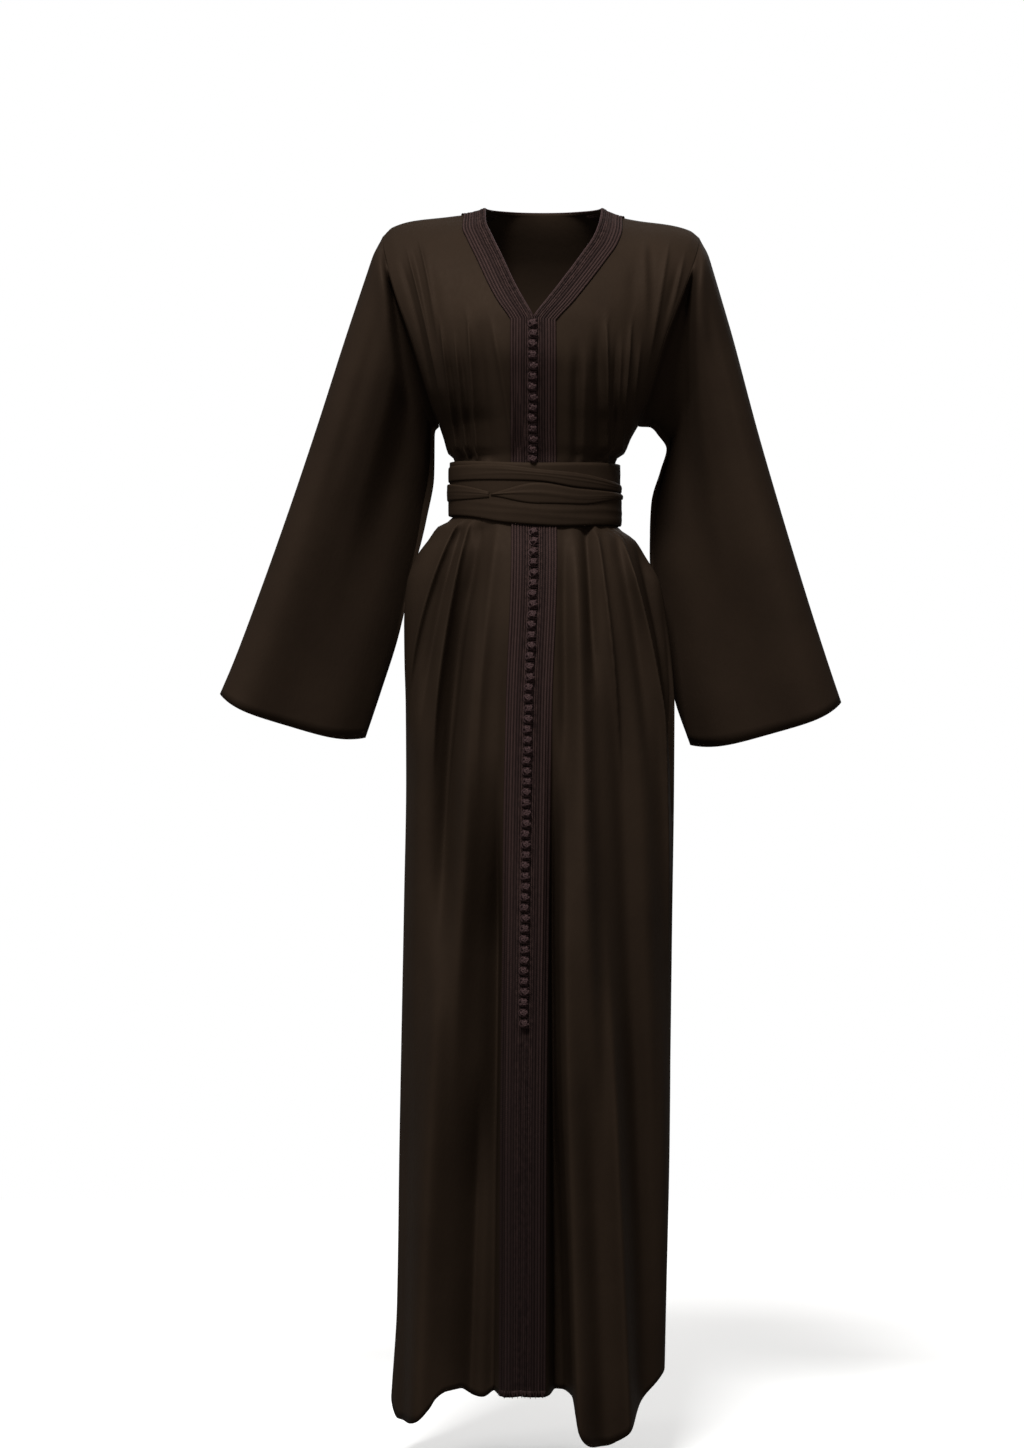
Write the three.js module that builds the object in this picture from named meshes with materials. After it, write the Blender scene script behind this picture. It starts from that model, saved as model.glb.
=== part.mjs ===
// A full-length kaftan with a V neck, corded braid down the front, a row of knotted
// ball buttons, wide bell sleeves and a wound sash. The cloth holds its worn shape
// and is hollow. Millimetres, +Z up, the front faces -Y, and the origin is at the
// base of the neck, level with the shoulder seams. Sides are the wearer's own, so
// "right" lies on -X.
import * as THREE from 'three';

// ---- driving dimensions ----
const clothThickness = 1.5;
const sashThickness = 1.2;
const seamGap = 0.3;
const halfSeam = seamGap / 2;

const armpitZ = -257;
const waistZ = -338;
const neckPointZ = 3.5;
const vPointRise = 0.449; // where the V starts, from 0 at the armpit to 1 at the shoulder
const sideSeamY = 5;
const neckHalfWidth = 70.2;
const backNeckY = 62;
const backNeckZ = 7;
const hemStartZ = -1290; // below this level the rows follow the hem

const braidWidth = 27;
const braidGround = 1.2; // thickness of the braid between its cords
const cordHeight = 1.1;
const cordCount = 5;
const cordedWidth = 17; // outer part of the braid that carries the cords
const flatShare = 1 - cordedWidth / braidWidth;
const braidSlant = 1.09; // how much wider the braid runs along a row beside the V
const braidSlantFade = 0.1;
const neckBraidSteps = 16;
const neckBraidLift = 1;
const neckRisePerMm = 0.0034;

const knotClearance = 0.6;
const knotSides = 6;

const pressedHalf = 38; // half the height that the sash presses flat
const pressFade = 16;
const foldFade = 0.22; // share of a fold's length over which each end fades
const sideFade = 0.12; // share of a panel over which folds fade at the side seam
const frontFade = 0.14;
const sleeveFoldStart = 0.4;
const sleeveTaper = 0.35; // how much fuller the sleeve is along its outer edge
const cuffSquareness = 4;
const neckGatherRise = 0.35; // where the back starts to narrow to the neck
const archRise = 0.6; // where the back starts to bend over the shoulders
const archPower = 2.5;
const runOnCosine = 0.2; // a sleeve that turns away more than this meets the body at a corner

// ---- tables, one row for each level, fold or stretch ----
// x of the right and left side seams and of the centre front, and y of front and back
const bodyLevels = [
  { z: -1402, right: -183, left: 145, centre: -26, front: -147, back: 146 },
  { z: -1306, right: -176, left: 146.5, centre: -25.5, front: -146, back: 145 },
  { z: -1114, right: -173, left: 151, centre: -25, front: -142, back: 140 },
  { z: -826, right: -167.5, left: 155, centre: -22, front: -136, back: 134 },
  { z: -682, right: -165, left: 157, centre: -20, front: -130, back: 129 },
  { z: -592, right: -165.5, left: 157.5, centre: -18, front: -126, back: 126 },
  { z: -538, right: -167, left: 154, centre: -16, front: -122, back: 124 },
  { z: -494, right: -167.5, left: 148.5, centre: -14, front: -117, back: 121 },
  { z: -446, right: -164, left: 140, centre: -12.5, front: -109, back: 114 },
  { z: -411, right: -151, left: 121, centre: -12, front: -98, back: 102 },
  { z: -394, right: -138.5, left: 110, centre: -12, front: -88, back: 90 },
  { z: -377, right: -126, left: 88.5, centre: -12, front: -82, back: 80 },
  { z: -369, right: -110, left: 87.2, centre: -12, front: -81.6, back: 78.7 },
  { z: -338, right: -106.4, left: 86, centre: -12, front: -80, back: 76 },
  { z: -298, right: -106.5, left: 86.5, centre: -12.5, front: -82, back: 78 },
  { z: -290, right: -114.5, left: 97, centre: -12.5, front: -88, back: 82 },
  { z: -272, right: -120, left: 105, centre: -13, front: -96, back: 85 },
  { z: -257, right: -125, left: 113.5, centre: -13, front: -102, back: 88 },
];

// rise runs from 0 at the armpit to 1 at the shoulder seam
const armholeLevels = [
  { rise: 0, right: -125, left: 113.5, front: sideSeamY - halfSeam, back: sideSeamY + halfSeam },
  { rise: 0.07, right: -130, left: 118, front: -27, back: 33 },
  { rise: 0.18, right: -138, left: 126, front: -48, back: 50 },
  { rise: 0.45, right: -157.5, left: 144, front: -62, back: 62 },
  { rise: 0.7, right: -178, left: 166, front: -54, back: 55 },
  { rise: 0.88, right: -188.5, left: 180.5, front: -32, back: 34 },
  { rise: 0.955, right: -192, left: 185.5, front: -15, back: 16 },
  { rise: 1, right: -193, left: 187, front: -halfSeam, back: halfSeam },
];

// the inner edge of the fronts and the middle of the back; turn is how far the
// section rounds the body from its inner edge to the armhole, in degrees
const chestLevels = [
  { rise: 0, right: -13, left: -13, front: -102, back: 88, turn: 90 },
  { rise: 0.18, right: -13, left: -13, front: -116, back: 94, turn: 76 },
  { rise: 0.31, right: -13, left: -13, front: -121, back: 97, turn: 66 },
  { rise: 0.449, right: -13, left: -13, front: -117, back: 98, turn: 60 },
  { rise: 0.603, right: -34.3, left: 17.2, front: -98, back: 95, turn: 54 },
  { rise: 0.761, right: -51.9, left: 45.9, front: -71, back: 87, turn: 50 },
  { rise: 0.845, right: -61.5, left: 59.4, front: -51, back: 79, turn: 46 },
  { rise: 0.933, right: -69.5, left: 67.2, front: -25, back: 69, turn: 42 },
  { rise: 1, right: -neckHalfWidth, left: neckHalfWidth, front: -halfSeam, back: backNeckY, turn: 40 },
];

// height of the shoulder seams, from 0 at the neck point to 1 at the shoulder tip
const shoulderLine = [
  { along: 0, right: neckPointZ, left: neckPointZ },
  { along: 0.1, right: -1.5, left: -3.5 },
  { along: 0.35, right: -6, left: -10.5 },
  { along: 0.7, right: -11, left: -16 },
  { along: 0.9, right: -18.5, left: -22.5 },
  { along: 1, right: -30, left: -31.5 },
];

// hem height, from 0 at the middle to 1 at the side seam of each panel
const hemLines = {
  right: [
    { along: 0, z: -1392 },
    { along: 0.2, z: -1399 },
    { along: 0.36, z: -1392 },
    { along: 0.48, z: -1405 },
    { along: 0.6, z: -1435 },
    { along: 0.7, z: -1444 },
    { along: 0.84, z: -1442 },
    { along: 1, z: -1427 },
  ],
  left: [
    { along: 0, z: -1392 },
    { along: 0.25, z: -1395 },
    { along: 0.3, z: -1437 },
    { along: 0.38, z: -1454 },
    { along: 0.47, z: -1455 },
    { along: 0.55, z: -1448 },
    { along: 0.7, z: -1430 },
    { along: 0.86, z: -1414 },
    { along: 1, z: -1399 },
  ],
  backRight: [
    { along: 0, z: -1422 },
    { along: 0.3, z: -1414 },
    { along: 0.55, z: -1430 },
    { along: 0.8, z: -1420 },
    { along: 1, z: -1427 },
  ],
  backLeft: [
    { along: 0, z: -1422 },
    { along: 0.3, z: -1429 },
    { along: 0.55, z: -1416 },
    { along: 0.8, z: -1421 },
    { along: 1, z: -1399 },
  ],
};

// folds: a ridge where height is above 0 and a trough where it is below; it runs
// through three places and fades at its ends; lean shifts its crest along x
const frontFolds = [
  { name: 'chest crease', x1: -158, z1: -62, x2: -133, z2: -162, x3: -122, z3: -225, width: 7, height: 2.4 },
  { name: 'chest crease', x1: -146, z1: -56, x2: -136, z2: -95, x3: -126, z3: -138, width: 6, height: 1.8 },
  { name: 'shoulder fold', x1: 119, z1: -45, x2: 121, z2: -75, x3: 122, z3: -110, width: 8, height: 1.8 },
  { name: 'shoulder fold', x1: 149, z1: -44, x2: 140, z2: -85, x3: 128, z3: -130, width: 8, height: 2.2 },
  { name: 'waist gather', x1: -118, z1: -195, x2: -111, z2: -260, x3: -107, z3: -300, width: 6, height: 2.6 },
  { name: 'waist gather', x1: -107, z1: -210, x2: -100, z2: -258, x3: -94, z3: -302, width: 6, height: 2.8 },
  { name: 'waist gather', x1: -87, z1: -190, x2: -84, z2: -250, x3: -81, z3: -302, width: 6.5, height: 2.8 },
  { name: 'waist gather', x1: -60, z1: -185, x2: -52, z2: -225, x3: -44, z3: -275, width: 9, height: 2 },
  { name: 'waist gather', x1: 46, z1: -215, x2: 45, z2: -260, x3: 44, z3: -302, width: 8, height: 1.6 },
  { name: 'waist gather', x1: 64, z1: -180, x2: 67, z2: -245, x3: 68, z3: -304, width: 6, height: 3 },
  { name: 'waist gather', x1: 86, z1: -196, x2: 82, z2: -250, x3: 79, z3: -302, width: 6, height: 2.8 },
  { name: 'waist gather', x1: 101, z1: -205, x2: 98, z2: -250, x3: 92, z3: -300, width: 6, height: 2.6 },
  { name: 'hip pleat', x1: -91, z1: -370, x2: -126, z2: -433, x3: -158, z3: -500, width: 9, height: 8 },
  { name: 'hip pleat', x1: -78, z1: -370, x2: -99, z2: -412, x3: -118, z3: -510, width: 8, height: 7 },
  { name: 'hip pleat', x1: -52, z1: -372, x2: -58, z2: -420, x3: -66, z3: -520, width: 8, height: 3.5 },
  { name: 'skirt trough', x1: -98, z1: -470, x2: -108, z2: -600, x3: -116, z3: -740, width: 13, height: -8 },
  { name: 'skirt ridge', x1: -82, z1: -560, x2: -92, z2: -680, x3: -104, z3: -900, width: 15, height: 6 },
  { name: 'skirt trough', x1: -64, z1: -860, x2: -92, z2: -1140, x3: -108, z3: -1520, width: 24, height: -20 },
  { name: 'skirt ridge', x1: -128, z1: -820, x2: -146, z2: -1180, x3: -152, z3: -1600, width: 20, height: 14 },
  { name: 'hip trough', x1: 50, z1: -372, x2: 51, z2: -410, x3: 54, z3: -470, width: 6, height: -4.5 },
  { name: 'hip pleat', x1: 60, z1: -370, x2: 66, z2: -420, x3: 76, z3: -500, width: 7, height: 6 },
  { name: 'hip pleat', x1: 87, z1: -370, x2: 117, z2: -461, x3: 133, z3: -620, width: 9, height: 8 },
  { name: 'hip trough', x1: 99, z1: -380, x2: 124, z2: -450, x3: 144, z3: -560, width: 7, height: -7 },
  { name: 'hip pleat', x1: 98, z1: -366, x2: 136, z2: -438, x3: 154, z3: -560, width: 7, height: 5 },
  { name: 'skirt ridge', x1: 39, z1: -420, x2: 41, z2: -620, x3: 52, z3: -870, width: 14, height: 7 },
  { name: 'skirt ridge', x1: 133, z1: -540, x2: 147, z2: -716, x3: 150, z3: -1000, width: 11, height: 6 },
  { name: 'skirt ridge', x1: 54, z1: -840, x2: 72, z2: -1150, x3: 86, z3: -1500, width: 18, height: 11 },
  { name: 'front recess', x1: 14, z1: -640, x2: 17, z2: -1050, x3: 32, z3: -2000, width: 15, height: -26 },
  { name: 'fold edge', x1: 30, z1: -640, x2: 35, z2: -1080, x3: 72, z3: -2000, width: 17, height: 30, lean: -17 },
  { name: 'skirt trough', x1: 106, z1: -900, x2: 112, z2: -1200, x3: 118, z3: -1700, width: 17, height: -11 },
];

const backFolds = [
  { name: 'waist gather', x1: -92, z1: -180, x2: -88, z2: -245, x3: -84, z3: -302, width: 7, height: 2.6 },
  { name: 'waist gather', x1: -62, z1: -170, x2: -60, z2: -240, x3: -58, z3: -303, width: 7, height: 2.8 },
  { name: 'waist gather', x1: -30, z1: -195, x2: -33, z2: -245, x3: -34, z3: -300, width: 8, height: 2.2 },
  { name: 'waist gather', x1: 12, z1: -185, x2: 13, z2: -240, x3: 13, z3: -302, width: 8, height: 2.4 },
  { name: 'waist gather', x1: 42, z1: -175, x2: 40, z2: -245, x3: 38, z3: -303, width: 7, height: 2.8 },
  { name: 'waist gather', x1: 72, z1: -190, x2: 69, z2: -250, x3: 66, z3: -300, width: 7, height: 2.5 },
  { name: 'hip pleat', x1: -92, z1: -370, x2: -112, z2: -440, x3: -128, z3: -590, width: 10, height: 7 },
  { name: 'hip pleat', x1: -62, z1: -370, x2: -74, z2: -450, x3: -84, z3: -640, width: 11, height: 6 },
  { name: 'hip pleat', x1: -28, z1: -372, x2: -31, z2: -450, x3: -36, z3: -600, width: 11, height: 5 },
  { name: 'hip pleat', x1: 10, z1: -370, x2: 11, z2: -440, x3: 14, z3: -620, width: 11, height: 5 },
  { name: 'hip pleat', x1: 42, z1: -370, x2: 52, z2: -450, x3: 62, z3: -600, width: 10, height: 6 },
  { name: 'hip pleat', x1: 72, z1: -370, x2: 94, z2: -450, x3: 108, z3: -620, width: 10, height: 7 },
  { name: 'skirt ridge', x1: -120, z1: -620, x2: -128, z2: -1000, x3: -134, z3: -1700, width: 19, height: 12 },
  { name: 'skirt trough', x1: -86, z1: -680, x2: -88, z2: -1050, x3: -90, z3: -1700, width: 20, height: -14 },
  { name: 'skirt ridge', x1: -40, z1: -560, x2: -46, z2: -1000, x3: -50, z3: -1700, width: 20, height: 13 },
  { name: 'skirt trough', x1: -4, z1: -640, x2: -6, z2: -1050, x3: -8, z3: -1700, width: 20, height: -15 },
  { name: 'skirt ridge', x1: 30, z1: -600, x2: 34, z2: -1000, x3: 36, z3: -1700, width: 19, height: 13 },
  { name: 'skirt trough', x1: 70, z1: -660, x2: 74, z2: -1050, x3: 76, z3: -1700, width: 19, height: -13 },
  { name: 'skirt ridge', x1: 106, z1: -600, x2: 112, z2: -1000, x3: 114, z3: -1700, width: 18, height: 11 },
];

// rows of the cloth between the armpit and the hem, closer where the cloth bends
const rowZones = [
  { name: 'bodice', top: armpitZ, bottom: -290, rows: 3 },
  { name: 'above the sash', top: -290, bottom: -298, rows: 1 },
  { name: 'under the sash', top: -298, bottom: -369, rows: 2 },
  { name: 'below the sash', top: -369, bottom: -377, rows: 1 },
  { name: 'hip', top: -377, bottom: -446, rows: 4 },
  { name: 'thigh', top: -446, bottom: -700, rows: 4 },
  { name: 'skirt', top: -700, bottom: hemStartZ, rows: 5 },
  { name: 'hem', top: hemStartZ, bottom: -1400, rows: 2 },
];
const chestRises = [0.07, 0.18, 0.31, vPointRise, 0.57, 0.69, 0.8, 0.89, 0.955, 1];

// columns from the braid's outer edge to the side seam, closer at the braid where
// spread is above 1
const frontColumns = 12;
const frontSpread = { right: 1, left: 1.25 };
const neckColumns = 10;
const shoulderColumns = 6;
const neckShare = 1 / 3; // part of the back's half width that the neck takes

// sleeves: the outer edge runs down the arm, the inner edge is the fold that hangs
// below it; innerY sets that fold back, and depth is half the hollow's depth
const sleeveLevels = {
  right: [
    { along: 0.1, outerX: -206.5, outerZ: -58.8, innerX: -132, innerZ: -268, innerY: 14, depth: 59 },
    { along: 0.3, outerX: -237, outerZ: -150, innerX: -133, innerZ: -314, innerY: 34, depth: 52 },
    { along: 0.5, outerX: -273, outerZ: -262, innerX: -143, innerZ: -368, innerY: 46, depth: 48 },
    { along: 0.66, outerX: -306, outerZ: -360, innerX: -158, innerZ: -431, innerY: 50, depth: 46 },
    { along: 0.82, outerX: -346, outerZ: -472, innerX: -176, innerZ: -510, innerY: 46, depth: 45 },
    { along: 0.93, outerX: -373, outerZ: -543, innerX: -197, innerZ: -577, innerY: 40, depth: 44 },
    { along: 1, outerX: -388, outerZ: -578, innerX: -215, innerZ: -631, innerY: 36, depth: 43 },
  ],
  left: [
    { along: 0.1, outerX: 199.5, outerZ: -58.8, innerX: 136, innerZ: -262, innerY: 14, depth: 59 },
    { along: 0.2, outerX: 213, outerZ: -104, innerX: 150, innerZ: -283, innerY: 26, depth: 55 },
    { along: 0.3, outerX: 226.5, outerZ: -150, innerX: 143, innerZ: -308, innerY: 34, depth: 52 },
    { along: 0.5, outerX: 256.5, outerZ: -262, innerX: 132, innerZ: -350, innerY: 46, depth: 48 },
    { along: 0.66, outerX: 285.5, outerZ: -362, innerX: 130, innerZ: -412, innerY: 50, depth: 46 },
    { along: 0.82, outerX: 319, outerZ: -472, innerX: 142, innerZ: -494, innerY: 50, depth: 45 },
    { along: 0.93, outerX: 343.5, outerZ: -548, innerX: 158.5, innerZ: -582, innerY: 44, depth: 44 },
    { along: 1, outerX: 357, outerZ: -588, innerX: 178, innerZ: -640, innerY: 38, depth: 43 },
  ],
};
const sleeveStations = [0.1, 0.2, 0.3, 0.4, 0.5, 0.6, 0.7, 0.8, 0.9, 1];
const cuffDrop = 13; // how far the cuff bulges below the line between its corners

// soft folds along each sleeve: at is the place round the section, 0 at the inner fold
const sleeveFolds = [
  { at: 0.14, width: 0.05, height: 4 },
  { at: 0.26, width: 0.06, height: -5 },
  { at: 0.37, width: 0.05, height: 4 },
  { at: 0.66, width: 0.06, height: 4 },
  { at: 0.76, width: 0.06, height: -5 },
  { at: 0.88, width: 0.05, height: 4 },
];

// sash stretches: inner is how far a stretch lies off the body, and swell is how far
// its middle stands out; the edges give its heights across the front, from the right
// side to the left, and go on smoothly round the back; start and end are degrees
// round the waist, and a stretch without them is a whole ring
const sashStretches = [
  {
    name: 'sash_under', inner: 5.3, swell: 0,
    edges: [
      { x: -110, top: -301, bottom: -360 },
      { x: -12, top: -307.5, bottom: -374 },
      { x: 90, top: -304, bottom: -367 },
    ],
  },
  {
    name: 'sash_lower', inner: 6.8, swell: 0.6,
    edges: [
      { x: -110, top: -344, bottom: -365 },
      { x: -85, top: -343, bottom: -369 },
      { x: -42, top: -343, bottom: -378 },
      { x: 14, top: -345, bottom: -382 },
      { x: 90, top: -342, bottom: -377 },
    ],
  },
  {
    name: 'sash_upper', inner: 6.8, swell: 1.8,
    edges: [
      { x: -110, top: -306.5, bottom: -325 },
      { x: -50, top: -309, bottom: -327.5 },
      { x: -6, top: -315, bottom: -329.5 },
      { x: 38, top: -319, bottom: -336 },
      { x: 90, top: -329, bottom: -338 },
    ],
  },
  {
    name: 'sash_cross', inner: 8.9, swell: 1.2, start: -90, end: 59,
    edges: [
      { x: -110, top: -326.5, bottom: -347.5 },
      { x: -85, top: -333, bottom: -349 },
      { x: -57, top: -342, bottom: -348 },
    ],
  },
  {
    name: 'sash_middle', inner: 8.9, swell: 1.4, start: 60.5, end: 269.6,
    edges: [
      { x: -58, top: -343, bottom: -346 },
      { x: -8, top: -331, bottom: -356 },
      { x: 38, top: -337.5, bottom: -356 },
      { x: 90, top: -339.5, bottom: -344.5 },
    ],
  },
];
const sashColumns = 28;
const sashRows = 2;

// one knot with its share of the loop cord, along the row in shares of the pitch
const knotProfile = [
  { at: 0.06, radius: 1.5 },
  { at: 0.3, radius: 3.7 },
  { at: 0.7, radius: 3.7 },
  { at: 0.94, radius: 1.5 },
];

// lengths of the button row, each a run of knots on its loop cord
const buttonRuns = [
  { place: 'above the sash', top: -150, pitch: 11.4, lengths: [5, 4, 4] },
  { place: 'below the sash', top: -391, pitch: 12.3, lengths: [6, 6, 6, 6, 6, 6, 6, 5] },
];

// ---- colours ----
const cloth = { color: 0x33271f, roughness: 0.8 };
const sashCloth = { color: 0x33271f, roughness: 0.75 };
const braid = { color: 0x3f2f2b, roughness: 0.65 };
const knots = { color: 0x34262a, roughness: 0.7 };

// ---- small helpers ----
const lerp = (a, b, t) => a + (b - a) * t;
const clamp01 = (t) => Math.min(1, Math.max(0, t));
const smooth = (t) => clamp01(t) ** 2 * (3 - 2 * clamp01(t));

// A smooth curve through a table's rows that never overshoots them.
function through(rows, input, output) {
  const sorted = [...rows].sort((a, b) => a[input] - b[input]);
  const x = sorted.map((row) => row[input]);
  const y = sorted.map((row) => row[output]);
  const last = x.length - 1;
  const rate = x.slice(1).map((next, i) => (y[i + 1] - y[i]) / (next - x[i]));
  const slope = x.map((_, i) => {
    if (i === 0) return rate[0];
    if (i === last) return rate[last - 1];
    if (rate[i - 1] * rate[i] <= 0) return 0;
    return (2 * rate[i - 1] * rate[i]) / (rate[i - 1] + rate[i]);
  });
  return (at) => {
    if (at <= x[0]) return y[0];
    if (at >= x[last]) return y[last];
    const i = x.findIndex((value) => value > at) - 1;
    const step = x[i + 1] - x[i];
    const t = (at - x[i]) / step;
    const a = (1 + 2 * t) * (1 - t) ** 2 * y[i] + t * (1 - t) ** 2 * step * slope[i];
    return a + t * t * (3 - 2 * t) * y[i + 1] + t * t * (t - 1) * step * slope[i + 1];
  };
}

const columnsOf = (rows, input, names) =>
  Object.fromEntries(names.map((name) => [name, through(rows, input, name)]));

const body = columnsOf(bodyLevels, 'z', ['right', 'left', 'centre', 'front', 'back']);
const armhole = columnsOf(armholeLevels, 'rise', ['right', 'left', 'front', 'back']);
const chest = columnsOf(chestLevels, 'rise', ['right', 'left', 'front', 'back', 'turn']);
const shoulderZ = columnsOf(shoulderLine, 'along', ['right', 'left']);
const hemZ = Object.fromEntries(
  Object.entries(hemLines).map(([name, line]) => [name, through(line, 'along', 'z')]),
);

// ---- folds ----

function foldShift(folds, x, z) {
  let height = 0;
  let lean = 0;
  for (const fold of folds) {
    const run = (fold.z1 - z) / (fold.z1 - fold.z3);
    if (run <= 0 || run >= 1) continue;
    const half = (fold.z1 - fold.z2) / (fold.z1 - fold.z3);
    const crest = run < half
      ? lerp(fold.x1, fold.x2, run / half)
      : lerp(fold.x2, fold.x3, (run - half) / (1 - half));
    const fade = smooth(run / foldFade) * smooth((1 - run) / foldFade);
    const bump = Math.exp(-(((x - crest) / fold.width) ** 2)) * fade;
    height += fold.height * bump;
    lean += (fold.lean ?? 0) * bump;
  }
  return { height, lean };
}

// The sash presses the folds flat where it lies on them.
const sashPress = (z) => smooth((Math.abs(z - waistZ) - pressedHalf) / pressFade);

// ---- the body's surface ----
// side is right, left or back; across runs from 0 at the middle (the front edge or
// the middle of the back) to 1 at the side seam or armhole; on the back it runs
// from -1 at the wearer's right to 1 at the left
function lowerPoint(side, across, z) {
  const share = Math.abs(across);
  const edge = side === 'back' ? (across < 0 ? 'right' : 'left') : side;
  const centre = body.centre(z);
  const depth = side === 'back' ? body.back(z) : body.front(z);
  const angle = (share * Math.PI) / 2;
  const x = lerp(centre, body[edge](z), Math.sin(angle));
  const seamY = sideSeamY + (side === 'back' ? halfSeam : -halfSeam);
  const y = lerp(seamY, depth, Math.cos(angle));
  return new THREE.Vector3(x, y, z);
}

function upperPoint(side, across, rise) {
  const share = Math.abs(across);
  const turn = THREE.MathUtils.degToRad(chest.turn(rise));
  const sweep = Math.sin(share * turn) / Math.sin(turn);
  const fall = (1 - Math.cos(share * turn)) / (1 - Math.cos(turn));
  if (side !== 'back') {
    const x = lerp(chest[side](rise), armhole[side](rise), sweep);
    const y = lerp(chest.front(rise), armhole.front(rise), fall);
    const z = lerp(armpitZ, shoulderZ[side](sweep), rise);
    return new THREE.Vector3(x, y, z);
  }
  const edge = across < 0 ? 'right' : 'left';
  const neck = neckShare;
  const centre = lerp(body.centre(armpitZ), 0, smooth(rise));
  const tipX = armhole[edge](rise);
  const seam = clamp01((share - neck) / (1 - neck));
  const freeX = lerp(centre, tipX, sweep);
  const topX = share < neck
    ? Math.sign(across) * neckHalfWidth * Math.sin((share / neck) * (Math.PI / 2))
    : Math.sign(across) * lerp(neckHalfWidth, Math.abs(tipX), seam);
  const gather = smooth((rise - neckGatherRise) / (1 - neckGatherRise));
  const arch = clamp01((rise - archRise) / (1 - archRise));
  const over = 1 - (1 - arch ** archPower) ** (1 / archPower);
  const ringY = share < neck ? backNeckY * Math.cos((share / neck) * (Math.PI / 2)) : 0;
  const archY = lerp(chest.back(rise), armhole.back(rise), fall);
  const y = lerp(archY, Math.max(ringY, halfSeam), over);
  const topZ = share < neck
    ? lerp(neckPointZ, backNeckZ, Math.cos((share / neck) * (Math.PI / 2)))
    : shoulderZ[edge](seam);
  return new THREE.Vector3(lerp(freeX, topX, gather), y, lerp(armpitZ, topZ, rise));
}

// level runs over the rows: { z } below the armpit, { rise } above it, and the last
// rows carry hem, the share of the way from hemStartZ to the hem
function bareSurface(side, across, level) {
  if (level.rise !== undefined) return upperPoint(side, across, level.rise);
  const point = lowerPoint(side, across, level.z);
  if (level.hem > 0) {
    const hem = side === 'back' ? (across < 0 ? hemZ.backRight : hemZ.backLeft) : hemZ[side];
    point.z = lerp(hemStartZ, hem(Math.abs(across)), level.hem);
  }
  return point;
}

function surface(side, across, level) {
  const point = bareSurface(side, across, level);
  const step = across > 0.5 ? -0.02 : 0.02;
  const along = bareSurface(side, across + step, level).sub(point);
  const outward = new THREE.Vector3(along.y, -along.x, 0).normalize();
  const fromMiddle = new THREE.Vector3(point.x - body.centre(point.z), point.y - sideSeamY, 0);
  if (outward.dot(fromMiddle) < 0) outward.negate();
  const folds = foldShift(side === 'back' ? backFolds : frontFolds, point.x, point.z);
  const press = sashPress(point.z);
  const atFront = side === 'back' ? 1 : smooth(across / frontFade);
  const seamFade = smooth((1 - Math.abs(across)) / sideFade) * atFront;
  point.addScaledVector(outward, folds.height * press * seamFade);
  point.x += folds.lean * press * seamFade;
  return point;
}

// ---- rows and columns of the body's cloth ----
function bodyRows() {
  const rows = [];
  for (const zone of [...rowZones].reverse()) {
    for (let i = zone.rows; i > 0; i -= 1) {
      const z = lerp(zone.top, zone.bottom, i / zone.rows);
      rows.push({ z, hem: zone.name === 'hem' ? i / zone.rows : 0 });
    }
  }
  rows.push({ z: armpitZ, hem: 0 });
  for (const rise of chestRises) rows.push({ rise });
  return rows;
}
const rows = bodyRows();
const armpitRow = rows.findIndex((row) => row.z === armpitZ);

// The place across a front that lies a given length of cloth from its edge.
function acrossAt(side, length, level) {
  const step = 0.004;
  let travelled = 0;
  let here = bareSurface(side, 0, level);
  for (let across = step; across < 1; across += step) {
    const next = bareSurface(side, across, level);
    const leg = next.distanceTo(here);
    if (travelled + leg >= length) return across - step + (step * (length - travelled)) / leg;
    travelled += leg;
    here = next;
  }
  return 1;
}

// A slanted neck edge makes the braid wider along the row.
function braidReach(level) {
  if (level.rise === undefined) return braidWidth;
  const start = smooth((level.rise - vPointRise) / braidSlantFade);
  const end = smooth((1 - level.rise) / braidSlantFade);
  return braidWidth * lerp(1, braidSlant, start * end);
}

// A front's columns: its edge, two under the braid, then on to the side seam.
function frontAcross(side, level) {
  const reach = braidReach(level);
  const edge = level.rise > vPointRise ? 0 : halfSeam;
  const places = [edge, reach * flatShare, reach].map((length) => acrossAt(side, length, level));
  const outer = places[2];
  for (let i = 1; i <= frontColumns; i += 1) {
    places.push(lerp(outer, 1, (i / frontColumns) ** frontSpread[side]));
  }
  return places;
}

// The back's columns: one shoulder, the neck, the other shoulder.
function backAcross() {
  const places = [];
  for (let i = 0; i < shoulderColumns; i += 1) places.push(lerp(-1, -neckShare, i / shoulderColumns));
  for (let i = 0; i < neckColumns; i += 1) places.push(lerp(-neckShare, neckShare, i / neckColumns));
  for (let i = 0; i <= shoulderColumns; i += 1) places.push(lerp(neckShare, 1, i / shoulderColumns));
  return places;
}

const panelGrid = (side, acrossOf) =>
  rows.map((level) => acrossOf(level).map((across) => surface(side, across, level)));

// ---- walls from grids ----
// Outward normals of a grid of points, by the points on either side of each.
function gridNormals(grid, wrap, flip) {
  const count = grid[0].length;
  return grid.map((row, i) => row.map((_, j) => {
    const up = grid[Math.min(i + 1, grid.length - 1)][j].clone().sub(grid[Math.max(i - 1, 0)][j]);
    const ahead = wrap ? row[(j + 1) % count] : row[Math.min(j + 1, count - 1)];
    const behind = wrap ? row[(j + count - 1) % count] : row[Math.max(j - 1, 0)];
    const normal = ahead.clone().sub(behind).cross(up).normalize();
    return flip ? normal.negate() : normal;
  }));
}

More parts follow.
